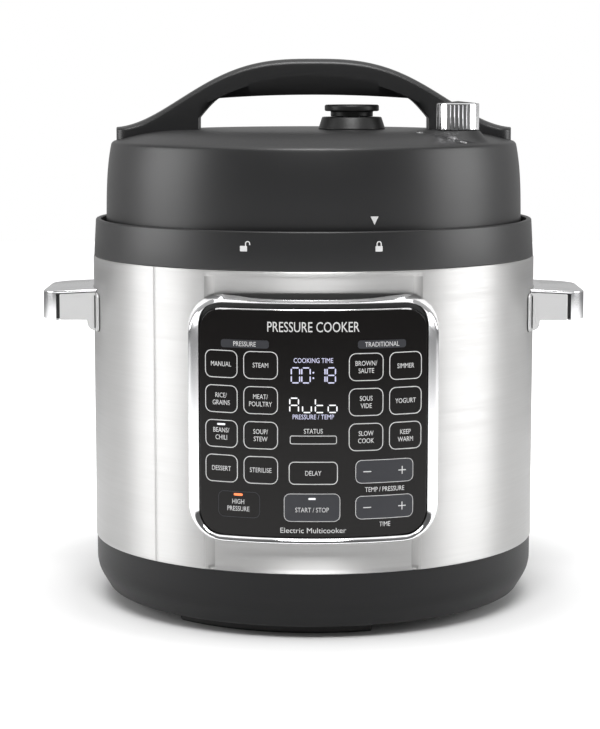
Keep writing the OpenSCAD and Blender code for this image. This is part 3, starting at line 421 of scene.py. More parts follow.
def arch_ring(u):
    """The arch's section at u along it: a crowned top, soft shoulders, and the grip's or the leg's foot."""
    a = abs(u)
    past = max(0, a - (ARCH_END - ARCH_CORNER))
    w = ARCH_HALF - ARCH_CORNER + math.sqrt(max(0.01, ARCH_CORNER**2 - past**2))
    top = arch_top(a)
    soft = min(ARCH_SOFT, (top - SOFT_FROM) * SOFT_SHARE)
    if a > LEG_IN:
        waist = crown_z(a) + 0.5
        under = [(w * k / 4, None) for k in range(-4, 5)]
    else:
        low = arch_under(a)
        waist = max(low + 0.6, WAIST_HIGH - WAIST_FALL * (a / WAIST_REACH) ** 2)
        half = w - GRIP_INSET * (1 - (a / LEG_IN) ** 4)
        under = [(-half, low + GRIP_EDGE), (-half + GRIP_EDGE, low)]
        under += [(half * share, low) for share in (-0.6, -1 / 3, 0, 1 / 3, 0.6)]
        under += [(half - GRIP_EDGE, low), (half, low + GRIP_EDGE)]
    waist = min(waist, top - soft - 0.3)
    upper = [(w, waist + (top - soft - waist) * k / 3) for k in range(3)]
    for t in spaced(0, math.pi / 2, 8):
        upper.append((w - soft * (1 - math.cos(t)), top - soft * (1 - math.sin(t))))
    for share in (0.75, 0.5, 0.25, 0):
        upper.append(((w - soft) * share, top + ARCH_CROWN * (1 - share**2)))
    upper += [(-y, z) for y, z in reversed(upper[:-1])]
    bend = (a / ARCH_END) ** 4
    ring = []
    for y, z in upper + under:
        x = math.copysign(math.sqrt(max(u * u - y * y * bend, 0)), u)
        if z is None:
            z = crown_z(min(math.hypot(x, y), SHOULDER_R)) + 0.1
        ring.append((x, y, z))
    return ring


def carrying_arch():
    """The fixed handle, made of sections set close where it turns into its legs and its ends."""
    leg_end = ARCH_END - ARCH_CORNER
    half = spaced(0, GRIP_HALF, 36)
    half += spaced(GRIP_HALF, LEG_IN - 0.05, 14)[1:]
    half += spaced(LEG_IN + 0.05, leg_end + 0.05, 30)
    half += [leg_end + ARCH_CORNER * math.sin(t) for t in spaced(0, math.pi / 2, 8)[1:]]
    stations = [-u for u in reversed(half[1:])] + half
    mesh = rings_to_mesh([arch_ring(u) for u in stations])
    add_piece("carrying_arch", *mesh, "lid", "charcoal_plastic", ["lid_handle"], sharp=42)


def steam_valve():
    """The fixed collar in the lid, and the button that the dial lifts."""
    at, r, z0, z1 = cad_round("valve_seat")
    bore = 10.6
    seat = [(bore, z0, 0), (r, z0, 0.5), (r - 0.6, z0 + 1.4, 0.5), (r - 2.6, z1, 1), (bore, z1, 0.5)]
    add_piece("valve_collar", *lathe(fillet(seat), at, 128), "lid", "black_plastic", ["valve_seat"])
    _, r, z0, z1 = cad_round("valve_cap")
    stem, bore, dish = 13, 5, 12
    cap = fillet(
        [
            (0, z0 + 3.7, 0), (bore, z0 + 3.7, 0), (bore, z0, 0), (stem, z0, 0.4),
            (stem, z0 + 3.2, 0.6), (r, z0 + 3.2, 0.9), (r, z1, 1.1), (dish, z1, 0.4),
            (dish, z1 - 0.8, 0.3), (0, z1 - 0.8, 0),
        ]
    )
    add_piece("valve_button", *lathe(cap, at, 128), "valve", "black_plastic", ["valve_cap"])


FLUTES = 32
GROOVE = (0,) * 13 + (0.22, 0.4, 0.22)
DIAL_WALL = 1.48


def dial_grip(at, r, z0, z1):
    """The fluted chrome ring with its plain rim, and the black cap inside it."""
    per = len(GROOVE)
    inner = r - DIAL_WALL
    rings = []
    for i in range(FLUTES * per):
        a = math.tau * i / (FLUTES * per)
        side = r - GROOVE[i % per]
        outline = [(inner, z0), (side - 0.4, z0), (side, z0 + 0.5), (side, z1 - 1.4), (r, z1 - 0.9)]
        outline += [(r, z1 - 0.35), (r - 0.3, z1), (r - 1, z1), (inner, z1 - 0.4)]
        rings.append(stand(outline, at, a))
    add_piece("dial_grip", *rings_to_mesh(rings, loop=True), "dial", "chrome_trim", ["dial_ring"], sharp=28)
    cap_r = r - 1.6
    cap = fillet([(0, z1 - 1.6, 0), (cap_r, z1 - 1.6, 0), (cap_r, z1 + 0.1, 0.5), (0, z1 + 1.3, 0)])
    add_piece("dial_cap", *lathe(cap, at, 96), "dial", "black_plastic")


def dial_skirt(at):
    """The dial's foot, which flares out and runs into the lid's crown."""
    top = cad_limits("dial_base")[1].z
    bore, hub_r, foot_r = 4.6, 12.8, 19.4
    low = top - 9
    count = 160
    rings = []
    for i in range(count):
        a = math.tau * i / count
        outline = [(bore, low), (bore, top - 0.3), (bore + 0.4, top), (hub_r, top)]
        for r in spaced(hub_r, foot_r, 12)[1:]:
            crown = crown_z(math.hypot(at[0] + r * math.cos(a), at[1] + r * math.sin(a)))
            share = 1 - (r - hub_r) / (foot_r - hub_r)
            outline.append((r, crown + 0.06 + (top - crown) * share**1.7))
        for r in (foot_r, bore + 0.5):
            crown = crown_z(math.hypot(at[0] + r * math.cos(a), at[1] + r * math.sin(a)))
            outline.append((r, crown - 0.2))
        outline.append((bore + 0.5, low))
        rings.append(stand(outline, at, a))
    add_piece("dial_skirt", *rings_to_mesh(rings, loop=True), "lid", "charcoal_plastic", ["dial_base"])


def dial_mark(at):
    """A small printed ring on the lid in front of the dial."""
    outline = [(1.9, 0.02), (1.9, 0.1), (1.45, 0.1), (1.45, 0.02)]
    points, faces = lathe(outline, (at[0] + 2, at[1] - 22.5), 32)
    points = [(x, y, z + crown_z(math.hypot(x, y))) for x, y, z in points]
    add_piece("dial_mark", points, faces, "lid", "pale_plastic", material=INK_PALE)


def steam_dial():
    at, r, z0, z1 = cad_round("dial_ring")
    dial_grip(at, r, z0, z1)
    dial_skirt(at)
    dial_mark(at)


# ------------------------ body

WALL_LOW, WALL_HIGH = cad_limits("steel_sleeve")
BODY_R = WALL_HIGH.x
STEEL_T = 0.8
RECESS_DEEP = 2
RECESS_HALF = 56
RECESS_EASE = 7
RECESS_START = math.degrees(math.asin(RECESS_HALF / (BODY_R - RECESS_DEEP)))
RECESS_STOP = math.degrees(math.asin((RECESS_HALF + RECESS_EASE) / BODY_R))
SEAM_TURN, SEAM_HALF, SEAM_DEEP = -42.6, 0.3, 0.22
WINDOW_HALF, WINDOW_LOW, WINDOW_HIGH = 54, 70, 188


def wall_r(turn, share=1):
    """Radius of the steel at an angle from the front, in degrees, with a share of the recess's depth."""
    t = min(1, max(0, (abs(turn) - RECESS_START) / (RECESS_STOP - RECESS_START)))
    seam = SEAM_DEEP * max(0, 1 - abs(turn - SEAM_TURN) / SEAM_HALF)
    return BODY_R - share * RECESS_DEEP * (1 - t * t * (3 - 2 * t)) - seam


def cut_window(faces, turns, column, window_turn):
    """Opens the wall behind the panel, and closes the cut edges between its outside and its inside."""
    size = len(column)
    front, rear = column.index((0, WINDOW_LOW, 1)), column.index((STEEL_T, WINDOW_HIGH, 1))
    edge = window_turn + 1e-6
    kept = []
    for i, face in enumerate(faces):
        ring, row = divmod(i, size)
        inside = -edge <= turns[ring] < turns[(ring + 1) % len(turns)] <= edge
        if not (inside and row in (front, rear)):
            kept.append(face)
    for i, turn in enumerate(turns[:-1]):
        a, b = i * size, (i + 1) * size
        if -edge <= turn and turns[i + 1] <= edge:
            kept += [(a + j, b + j, b + k, a + k) for j, k in ((front, rear + 1), (front + 1, rear))]
    for turn in (-window_turn, window_turn):
        i = turns.index(turn) * size
        kept.append(tuple(i + k for k in (front, front + 1, rear, rear + 1)))
    return kept


def steel_wall():
    """The wall as columns round the axis, each a closed loop of (depth, height, share of the recess)."""
    window_turn = math.degrees(math.asin(WINDOW_HALF / BODY_R))
    turns = [-180 + i * 1.25 for i in range(288)]
    turns += [side * (24 + i * 0.2) for i in range(26) for side in (-1, 1)]
    turns += [SEAM_TURN + SEAM_HALF * k / 3 for k in range(-3, 4)]
    turns = sorted(set(turns + [-window_turn, window_turn]))
    z0, z1 = WALL_LOW.z, WALL_HIGH.z
    recess_top, rim = z1 - 3.6, z1 - 1.2
    column = [(0.25, z0, 0.25), (0, z0 + 0.3, 0.3), (0, z0 + 1.5, 0.8), (0, z0 + 3, 1)]
    column += [(0, WINDOW_LOW, 1), (0, WINDOW_HIGH, 1), (0, recess_top, 1), (0, z1 - 2.6, 0.75)]
    column += [(0, z1 - 1.8, 0.25), (0, rim, 0), (0.12, z1 - 0.5, 0), (0.4, z1, 0)]
    inside = [(z1, 0), (rim, 0), (recess_top, 1), (WINDOW_HIGH, 1), (WINDOW_LOW, 1)]
    column += [(STEEL_T, z, share) for z, share in inside + [(z0 + 3, 1), (z0, 0.25)]]
    rings = []
    for turn in turns:
        a = math.radians(turn)
        radii = [(wall_r(turn, share) - depth, z) for depth, z, share in column]
        rings.append([(r * math.sin(a), -r * math.cos(a), z) for r, z in radii])
    points, faces = rings_to_mesh(rings, loop=True)
    faces = cut_window(faces, turns, column, window_turn)
    piece = add_piece("steel_wall", points, faces, "housing", "brushed_steel", ["steel_sleeve"], sharp=50)
    # The recess's sloping faces get the darker steel below: painted shade on the slopes.
    piece.data.materials.append(RECESS_SHADE_STEEL)
    ease = RECESS_STOP - RECESS_START
    first, last = RECESS_START + 0.08 * ease, RECESS_STOP - 0.12 * ease
    for face in piece.data.polygons:
        turn = abs(math.degrees(math.atan2(face.center.x, -face.center.y)))
        if first < turn < last and face.center.z < recess_top * MM:
            face.material_index = 1


COLLAR_LEAN = 1.3
SPOUT_HALF, SPOUT_TALL = 9, 6


def collar():
    """The ring on the wall, with a drip trough inside it and the trough's spout at the back."""
    high = cad_limits("top_collar")[1]
    r, top, base = high.x, high.z, WALL_HIGH.z
    inner = r - 4.5
    lip, lip_out, lip_top = 127, 128.6, 223.5
    neck_in, neck_out, neck_low = 130, 132.6, 205
    trough, under = 216.6, 214.2
    outline = fillet(
        [
            (neck_in, neck_low, 0), (neck_out, neck_low, 0), (neck_out, base, 0), (r, base + 0.05, 0.7),
            (r - COLLAR_LEAN, top, 1), (inner, top, 0.7), (inner, trough, 1), (lip_out, trough, 1),
            (lip_out, lip_top, 0.6), (lip, lip_top, 0.6), (lip, under, 0), (neck_in, under, 0),
        ]
    )
    end, z0 = high.y, base + 0.3
    z1 = z0 + SPOUT_TALL
    spout = []
    for y, inset in ((inner + 0.8, 0), (end - 2, 0), (end - 0.6, 0.5), (end, 2)):
        section = rounded_rect(SPOUT_HALF - inset, z0 + inset * 0.4, z1 - inset * 0.4, 1.2, 3)
        spout.append([(x, y, z) for x, z in section])
    mesh = join(lathe(outline, segments=256), rings_to_mesh(spout))
    add_piece("collar", *mesh, "housing", "charcoal_plastic", ["top_collar"])


LEDGE_HALF = 51
LEDGE_BOW = 1.8


def bow(x):
    """How far the back of the bezel's top ledge dips below its ends."""
    return LEDGE_BOW * max(0, 1 - (x / LEDGE_HALF) ** 2)


def chrome_bezel():
    """The panel's frame: rows of (half width, low, high, corner, radius), over its front and back again."""
    low, high = cad_limits("panel_bezel")
    half, z0, z1 = high.x, low.z, high.z
    front, back = -low.y, BODY_R + 0.25
    inner, groove = half - 6.1, half - 4.4
    rows = [
        (half, z0, z1, 20, back),
        (half, z0, z1, 20, back + 0.8),
        (half, z0, z1 - 2.8, 20, front - 1.4),
        (half - 0.4, z0 + 0.3, z1 - 3.7, 19.6, front - 0.5),
        (half - 1.1, z0 + 0.9, z1 - 4, 19, front),
        (half - 2.2, z0 + 1.6, z1 - 4.1, 18, front),
        (half - 4, z0 + 2.4, z1 - 4.2, 16, front - 0.35),
        (half - 5.5, z0 + 3.2, z1 - 4.3, 14.2, front - 0.9),
        (inner, z0 + 3.6, z1 - 4.5, 13.4, front - 1.3),
        (inner, z0 + 3.6, z1 - 4.5, 13.4, front - 3.3),
        (groove, z0 + 2.4, z1 - 2.2, 14, front - 3.3),
        (groove, z0 + 2.4, z1 - 2.2, 14, back),
    ]
    rings = [panel_loop(*row) for row in rows]
    for row in (0, 1):
        rings[row] = [(x, y, z - bow(x) if z > z1 - 1 else z) for x, y, z in rings[row]]
    mesh = rings_to_mesh(rings, loop=True)
    add_piece("chrome_bezel", *mesh, "housing", "chrome_trim", ["panel_bezel"], sharp=35)
    panel_shade_strip(z1, back)


def panel_shade_strip(z1, back):
    """A dark strip between the bezel's top ledge and the steel: painted shade standing in for the shadow in
    the gap there.
    """
    near, edge, deep = back - 0.3, back - 0.7, back - 2.6
    rings = []
    for x in spaced(-LEDGE_HALF, LEDGE_HALF, 40):
        top = z1 + 0.7 * bow(x) + 0.1
        section = ((deep, z1 - 3), (near, z1 - 3), (near, top - 0.3), (edge, top), (deep, top))
        rings.append([(x, -math.sqrt(r * r - x * x), z) for r, z in section])
    # Black plastic put where the gap above the ledge lies in shade: painted shade.
    add_piece("panel_shade_strip", *rings_to_mesh(rings), "housing", "black_plastic")


def panel_loop(half, z0, z1, corner, r):
    """A rounded rectangle on the front of a cylinder of radius r, with extra points on its long sides."""
    loop = []
    outline = rounded_rect(half, z0, z1, corner, 12)
    for i, (x, z) in enumerate(outline):
        x2, z2 = outline[(i + 1) % len(outline)]
        steps = 16 if math.hypot(x2 - x, z2 - z) > 20 else 1
        for k in range(steps):
            px, pz = x + (x2 - x) * k / steps, z + (z2 - z) * k / steps
            loop.append((px, -math.sqrt(r * r - px * px), pz))
    return loop


def strip_cap(loop, columns, r):
    """Faces that fill a panel loop, curved with the cylinder: a grid of strips clipped to the outline."""
    half = max(p[0] for p in loop)
    shell = bmesh.new()
    shell.faces.new([shell.verts.new((p[0], 0, p[2])) for p in loop])
    for k in range(1, columns):
        x = -half + 2 * half * k / columns
        geometry = shell.verts[:] + shell.edges[:] + shell.faces[:]
        bmesh.ops.bisect_plane(shell, geom=geometry, plane_co=(x, 0, 0), plane_no=(1, 0, 0))
    shell.verts.index_update()
    points = [(v.co.x, -math.sqrt(r * r - v.co.x**2), v.co.z) for v in shell.verts]
    faces = [tuple(v.index for v in f.verts) for f in shell.faces]
    shell.free()
    return points, faces


# ------------------------ touch panel

GLASS_LOW, GLASS_HIGH = cad_limits("panel_glass")
GLASS_R = -GLASS_LOW.y
GLASS_HALF = GLASS_HIGH.x
GLASS_CORNER, GLASS_THICK, GLASS_BEVEL = 13, 2.2, 0.7
INK_LOW, INK = -0.05, 0.06
GLASS_COLUMNS = 40
BEND_STEP = 3
NARROW = 0.8
CAP_HEIGHT = 2.65


def touch_glass():
    """The curved glass with a chamfer round its front; the chamfer's upward-facing top strip has a bright,
    near-metal finish that is a painted highlight.
    """
    z0, z1 = GLASS_LOW.z, GLASS_HIGH.z
    bevel, back_r = GLASS_BEVEL, GLASS_R - GLASS_THICK
    rows = [
        (GLASS_HALF, z0, z1, GLASS_CORNER, back_r),
        (GLASS_HALF, z0, z1, GLASS_CORNER, GLASS_R - bevel),
        (GLASS_HALF - bevel, z0 + bevel, z1 - bevel, GLASS_CORNER - bevel, GLASS_R),
    ]
    rings = [panel_loop(*row) for row in rows]
    size = len(rings[0])
    points, faces = rings_to_mesh(rings)
    front, front_faces = strip_cap(rings[-1], GLASS_COLUMNS, GLASS_R)
    back, back_faces = strip_cap(rings[0], GLASS_COLUMNS, back_r)
    sides = faces[: 2 * size]
    mesh = join((points, sides), (front, front_faces), (back, back_faces))
    piece = add_piece("touch_glass", *mesh, "housing", "panel_glass", ["panel_glass"], sharp=20)
    piece.data.materials.append(GLASS_EDGE_GLINT)
    # Only the upward-facing top chamfer gets the bright finish: a painted highlight.
    for face in piece.data.polygons:
        if face.normal.z > 0.3 and face.center.z > (z1 - bevel - 0.1) * MM:
            face.material_index = 1


def wrap(mesh, radius):
    """Lays a flat mesh of (along, up, out) points round the upright axis, at radius(height)."""
    points, faces = mesh
    placed = []
    for along, z, out in points:
        r = radius(z)
        placed.append(((r + out) * math.sin(along / r), -(r + out) * math.cos(along / r), z))
    return placed, faces


def prism(outline):
    """A thin flat shape whose outline is (along, up)."""
    return rings_to_mesh([[(x, z, out) for x, z in outline] for out in (INK_LOW, INK)])


def key_frame(at, width, height, corner=4, stroke=0.45):
    """The thin rounded line printed round a key."""
    outer, inner = (
        rounded_rect(width / 2 - inset, inset - height / 2, height / 2 - inset, corner - inset, 5)
        for inset in (0, stroke)
    )
    rings = []
    for i in range(len(outer)):
        following = (i + 1) % len(outer)
        steps = max(1, round(math.dist(outer[i], outer[following]) / BEND_STEP))
        for k in range(steps):
            t = k / steps
            x1, z1, x2, z2 = (
                at[j] + (1 - t) * loop[i][j] + t * loop[following][j]
                for loop in (outer, inner)
                for j in (0, 1)
            )
            rings.append([(x1, z1, INK_LOW), (x1, z1, INK), (x2, z2, INK), (x2, z2, INK_LOW)])
    return rings_to_mesh(rings, loop=True)


def patch(at, width, height, corner, high=INK / 2):
    """A filled rounded rectangle in columns narrow enough to bend round the glass."""
    ease = [corner * (1 - math.cos(math.pi * k / 12)) for k in range(7)]
    flat = width - 2 * corner
    inner = spaced(corner, corner + flat, max(1, math.ceil(flat / BEND_STEP)))[1:-1]
    distances = ease + inner + [width - e for e in reversed(ease)]
    rings = []
    for d in distances:
        in_corner = max(0, corner - min(d, width - d))
        half = height / 2 - corner + math.sqrt(max(0, corner**2 - in_corner**2))
        x = at[0] - width / 2 + d
        low, top = at[1] - half, at[1] + half
        rings.append([(x, low, INK_LOW), (x, low, high), (x, top, high), (x, top, INK_LOW)])
    return rings_to_mesh(rings)


def font_mesh(text):
    """The font's own letters at size 1, as flat (points, faces)."""
    curve = bpy.data.curves.new("lettering", "FONT")
    curve.body = text
    curve.align_x = "CENTER"
    curve.resolution_u = 3
    curve.extrude = 0.5
    holder = bpy.data.objects.new("lettering", curve)
    mesh = bpy.data.meshes.new_from_object(holder)
    points = [tuple(v.co) for v in mesh.vertices]
    faces = [tuple(f.vertices) for f in mesh.polygons]
    bpy.data.meshes.remove(mesh)
    bpy.data.objects.remove(holder)
    bpy.data.curves.remove(curve)
    return points, faces


CAP = max(y for _, y, _ in font_mesh("H")[0])


def lettering(text, at, cap=CAP_HEIGHT, width=None):
    """A line of letters centred on a point, with capitals of the given height."""
    points, faces = font_mesh(text)
    size = cap / CAP
    reach = max(x for x, _, _ in points) - min(x for x, _, _ in points)
    across = width / reach if width else size * NARROW
    middle = (max(x for x, _, _ in points) + min(x for x, _, _ in points)) / 2
    placed = [
        (at[0] + (x - middle) * across, at[1] + y * size - cap / 2, INK if out > 0 else INK_LOW)
        for x, y, out in points
    ]
    return placed, faces


SEGMENTS = {"0": "abcdef", "1": "bc", "8": "abcdefg", "A": "abcefg", "u": "cde", "t": "defg", "o": "cdeg"}


SEGMENT_BAR, SEGMENT_GAP = 0.72, 0.45


def segment_glyph(char, at, width, height):
    """One character of a seven-segment display, at its lower left corner."""
    x0, z0 = at
    half = height / 2
    places = {
        "a": (0, height, 1), "g": (0, half, 1), "d": (0, 0, 1),
        "f": (0, half, 0), "e": (0, 0, 0), "b": (width, half, 0), "c": (width, 0, 0),
    }
    meshes = []
    for name in SEGMENTS[char]:
        x, z, flat = places[name]
        length = width if flat else half
        gap, tip = SEGMENT_GAP, SEGMENT_BAR / 2
        shape = [(gap, 0), (gap + tip, -tip), (length - gap - tip, -tip), (length - gap, 0)]
        shape += [(length - gap - tip, tip), (gap + tip, tip)]
        outline = [(x0 + x + (a if flat else b), z0 + z + (b if flat else a)) for a, b in shape]
        meshes.append(prism(outline))
    return join(*meshes)


def segment_line(text, centre, glyph, height, gap):
    """A row of seven-segment characters centred on a point; a colon takes a narrow place."""
    widths = [1.2 if char == ":" else glyph for char in text]
    x = centre[0] - (sum(widths) + gap * (len(text) - 1)) / 2
    z = centre[1] - height / 2
    meshes = []
    for char, width in zip(text, widths):
        if char == ":":
            dots = [(x + width / 2, z + height * share) for share in (0.32, 0.68)]
            meshes += [patch(dot, 1, 1, 0.45, INK) for dot in dots]
        else:
            meshes.append(segment_glyph(char, (x, z), width, height))
        x += width + gap
    return join(*meshes)


KEY = (20, 15.8)
ROW_STEP = 19.93
LEFT_KEYS = [
    [("MANUAL",), ("STEAM",)],
    [("RICE/", "GRAINS"), ("MEAT/", "POULTRY")],
    [("BEANS/", "CHILI"), ("SOUP/", "STEW")],
    [("DESSERT",), ("STERILISE",)],
]
RIGHT_KEYS = [
    [("BROWN/", "SAUTE"), ("SIMMER",)],
    [("SOUS", "VIDE"), ("YOGURT",)],
    [("SLOW", "COOK"), ("KEEP", "WARM")],
]
KEY_BLOCKS = [(LEFT_KEYS, (-53.5, -30), 160.7), (RIGHT_KEYS, (30, 53.5), 159.8)]
LABELS = [
    ("PRESSURE", (-39.3, 172.5)), ("TRADITIONAL", (39.3, 172.5)), ("STATUS", (0, 123.7)),
    ("DELAY", (0, 99.7)), ("START / STOP", (-0.7, 78.6)), ("TEMP / PRESSURE", (41.2, 89.8)),
    ("TIME", (41.2, 69.6)), ("HIGH", (-43.3, 82.3)), ("PRESSURE", (-43.3, 78.2)),
]
LIT_LABELS = [("COOKING TIME", (0, 163.8)), ("PRESSURE / TEMP", (0, 131.8))]
TITLE = ("PRESSURE COOKER", (0, 182.6), 5.6, 52)
SUBTITLE = ("Electric Multicooker", (0, 66.8), 2.9, 37.4)
STEP_KEYS = [(41.2, 100.1), (41.2, 79.5)]
STEP_KEY = (34.5, 13.4)
START_KEY = ((-0.7, 79.9), 31.9, 16.1)
START_LAMP, CHILI_LAMP, HIGH_LAMP = (-0.7, 85.0), (-53.5, 126.2), (-43.3, 86.3)
DELAY_KEY = ((0, 99.7), 27.7, 13.1)
STATUS_BAR = ((0, 118.7), 26.5, 4.9)
HIGH_KEY = ((-43, 80.6), 25, 15)
HEADINGS = [(-39.3, 172.5), (39.3, 172.5)]
HEADING = (28.4, 4.6)
SIGN_AT, SIGN_LONG, SIGN_THIN = 10.4, 4.6, 0.55
LINE_STEP = 4.2
FINE_LINE = 0.3


def on_glass(*meshes):
    return wrap(join(*meshes), lambda z: GLASS_R)


def panel_print():
    """Everything printed on the glass: pale lines and letters, and slate patches under some of them."""
    ink, slate = [], []
    for block, columns, top in KEY_BLOCKS:
        for row, keys in enumerate(block):
            for x, words in zip(columns, keys):
                z = top - ROW_STEP * row
                ink.append(key_frame((x, z), *KEY))
                first = z + LINE_STEP / 2 * (len(words) - 1)
                ink += [lettering(word, (x, first - LINE_STEP * k)) for k, word in enumerate(words)]
    ink.append(key_frame(*DELAY_KEY, 3))
    ink.append(key_frame(*STATUS_BAR, 1.2, 0.4))
    ink += [lettering(*label) for label in (*LABELS, TITLE, SUBTITLE)]
    for x, z in STEP_KEYS:
        slate.append(patch((x, z), *STEP_KEY, 3.5))
        ink.append(key_frame((x, z), *STEP_KEY, 3.5, FINE_LINE))
        ink += [patch((x + side * SIGN_AT, z), SIGN_LONG, SIGN_THIN, 0.1, INK) for side in (-1, 1)]
        ink.append(patch((x + SIGN_AT, z), SIGN_THIN, SIGN_LONG, 0.1, INK * 1.2))
    slate.append(patch(*START_KEY, 3.5))
    ink.append(key_frame(*START_KEY, 3.5, FINE_LINE))
    slate += [patch(at, *HEADING, 1.6) for at in HEADINGS]
    slate.append(key_frame(*HIGH_KEY, 3.5, FINE_LINE))
    add_piece("panel_lettering", *on_glass(*ink), "housing", "pale_plastic", material=INK_PALE)
    add_piece("panel_patches", *on_glass(*slate), "housing", "panel_glass", material=INK_SLATE)


def panel_lamps():
    """What is lit on the panel: two lines of the display, their labels and three small lamps."""
    time_line = segment_line("00:18", (0, 155.4), 4.7, 8.5, 1.2)
    word_line = segment_line("Auto", (0, 138.4), 4.9, 8.1, 2.3)
    labels = [lettering(*label) for label in LIT_LABELS]
    white = [patch(CHILI_LAMP, 5, 1.1, 0.5, INK), patch(START_LAMP, 4.2, 1.1, 0.5, INK)]
    orange = patch(HIGH_LAMP, 5.4, 1.3, 0.6, INK)
    add_piece("timer_digits", *on_glass(time_line, *labels), "housing", "display", material=GLOW_BLUE)
    add_piece("pressure_digits", *on_glass(word_line, *white), "housing", "display", material=GLOW_WHITE)
    add_piece("pressure_lamp", *on_glass(orange), "housing", "display", material=GLOW_ORANGE)


# ------------------------ marks on the lid and the collar

LID_MARK = 15.65
LOCKED_TURN, UNLOCKED_TURN = 15.8, -16.9
PADLOCK_WIDTH, PADLOCK_Z = 4.2, 227.2
ARROW_LOW, ARROW_HIGH, ARROW_HALF = 238.6, 243.4, 2.3


def padlock(centre, width, is_open):
    """A small padlock: a rounded body, and a shackle that is swung aside when it is open."""
    x, z = centre
    body_outline = rounded_rect(width / 2, z - width * 0.74, z, 0.3, 2)
    body = prism([(x + a, b) for a, b in body_outline])
    r_out, r_in = width * 0.36, width * 0.22
    section = ((r_out, INK_LOW), (r_out, INK), (r_in, INK), (r_in, INK_LOW))
    rise = width * 0.3
    middle = x + (width * 0.58 if is_open else 0)
    foot = z if is_open else z - 0.3
    far_foot = z + rise * 0.4 if is_open else foot
    rings = [[(middle - r, foot, out) for r, out in section]]
    for k in range(13):
        a = math.pi * (1 - k / 12)
        rings.append([(middle + r * math.cos(a), z + rise + r * math.sin(a), out) for r, out in section])
    rings.append([(middle + r, far_foot, out) for r, out in section])
    return join(body, rings_to_mesh(rings))


def lock_marks():
    """The arrow printed on the lid, and the two padlocks on the collar that it points to."""
    along = math.radians(LID_MARK) * LID_R
    arrow = prism([(along, ARROW_LOW), (along + ARROW_HALF, ARROW_HIGH), (along - ARROW_HALF, ARROW_HIGH)])
    add_piece("lid_arrow", *wrap(arrow, side_r), "lid", "pale_plastic", material=INK_PALE)
    high = cad_limits("top_collar")[1]
    base = WALL_HIGH.z

    def collar_r(z):
        return high.x - COLLAR_LEAN * (z - base) / (high.z - base)

    marks = [
        padlock((math.radians(turn) * high.x, PADLOCK_Z), PADLOCK_WIDTH, turn == UNLOCKED_TURN)
        for turn in (LOCKED_TURN, UNLOCKED_TURN)
    ]
    mesh = wrap(join(*marks), collar_r)
    add_piece("collar_padlocks", *mesh, "housing", "pale_plastic", material=INK_PALE)


# ------------------------ side handles

BODY_GAP = 0.3
PLATE_FALL = math.tan(math.radians(2.7))
PLATE_TOP = cad_limits("right_handle_grip")[1].z
PLATE_THICK = 1.6
PLATE_GAP = 0.5
HANDLE_CORNER = 13
ARM_IN, ARM_OUT, ARM_EDGE = 29.5, 34.8, 0.35
ARM_LOW, ARM_END = 175, 154
FOOT_LOW, FOOT_WIDE, FOOT_R = 168.5, 5.8, 4.6
FLANGE_HALF = 42
BAR_START, BAR_LOW, BAR_THICK = 156.2, 174.6, 4.5


def mirrored(side, mesh):
    """A mesh made for the right-hand side, put on the right (1) or the left (-1)."""
    points, faces = mesh
    return [(side * x, y, z) for x, y, z in points], faces


def plate_z(x, drop=0):
    """Height of the handle's top, which falls outwards, less a drop."""
    return PLATE_TOP - (x - BODY_R) * PLATE_FALL - drop


def plate_outline(inset, drop, reach, half):
    """The grip's plan: an arc against the body, two straight sides and two round corners."""
    wall = BODY_R + BODY_GAP
    r = HANDLE_CORNER - inset
    x_c, y_c = reach - HANDLE_CORNER, half - HANDLE_CORNER
    arc = math.asin((half - inset) / wall)
    plan = [(wall * math.cos(a), wall * math.sin(a)) for a in spaced(arc, -arc, 8)]
    quarter = spaced(0, math.pi / 2, 12)
    plan += [(x_c + r * math.sin(t), -y_c - r * math.cos(t)) for t in quarter]
    plan += [(x_c + r * math.cos(t), y_c + r * math.sin(t)) for t in quarter]
    return [(x, y, plate_z(x, drop)) for x, y in plan]


def handle_grip(side, name):
    """The chrome top plate with a soft edge, and the bar that hangs from its outer edge."""
    low, high = cad_limits(name)
    reach, half = max(abs(low.x), high.x), high.y
    layers = [(0.6, PLATE_THICK), (0.2, PLATE_THICK - 0.1), (0.02, PLATE_THICK - 0.35)]
    layers += [(0.02, 0.6), (0.15, 0.28), (0.45, 0.08), (0.9, 0)]
    plate = rings_to_mesh([plate_outline(inset, drop, reach, half) for inset, drop in layers])
    top = plate_z(reach, 0.8)
    section = fillet([(0, BAR_LOW, 1), (BAR_THICK, BAR_LOW, 1), (BAR_THICK, top, 0), (0, top, 0)], 4)
    x_c, y_c = reach - HANDLE_CORNER, half - HANDLE_CORNER
    path = []
    for t in spaced(math.asin((BAR_START - x_c) / HANDLE_CORNER), math.pi / 2, 14):
        i, j = math.sin(t), math.cos(t)
        path.append((x_c + HANDLE_CORNER * i, -y_c - HANDLE_CORNER * j, -i, j))
    path += [(x, -y, i, -j) for x, y, i, j in reversed(path)]
    bar = rings_to_mesh([[(x + n * i, y + n * j, z) for n, z in section] for x, y, i, j in path])
    mesh = mirrored(side, join(plate, bar))
    add_piece(name + "_shell", *mesh, "housing", "chrome_trim", [name], material=SATIN_CHROME)


def curved_plate(r0, r1, half, z0, z1, corner):
    """A plate bent round the body, with round corners, seen along X."""
    loop = rounded_rect(half, z0, z1, corner, 6)
    dense = []
    for i, (y, z) in enumerate(loop):
        y2, z2 = loop[(i + 1) % len(loop)]
        steps = max(1, round(math.hypot(y2 - y, z2 - z) / 5))
        dense += [(y + (y2 - y) * k / steps, z + (z2 - z) * k / steps) for k in range(steps)]
    return rings_to_mesh([[(math.sqrt(r * r - y * y), y, z) for y, z in dense] for r in (r0, r1)])


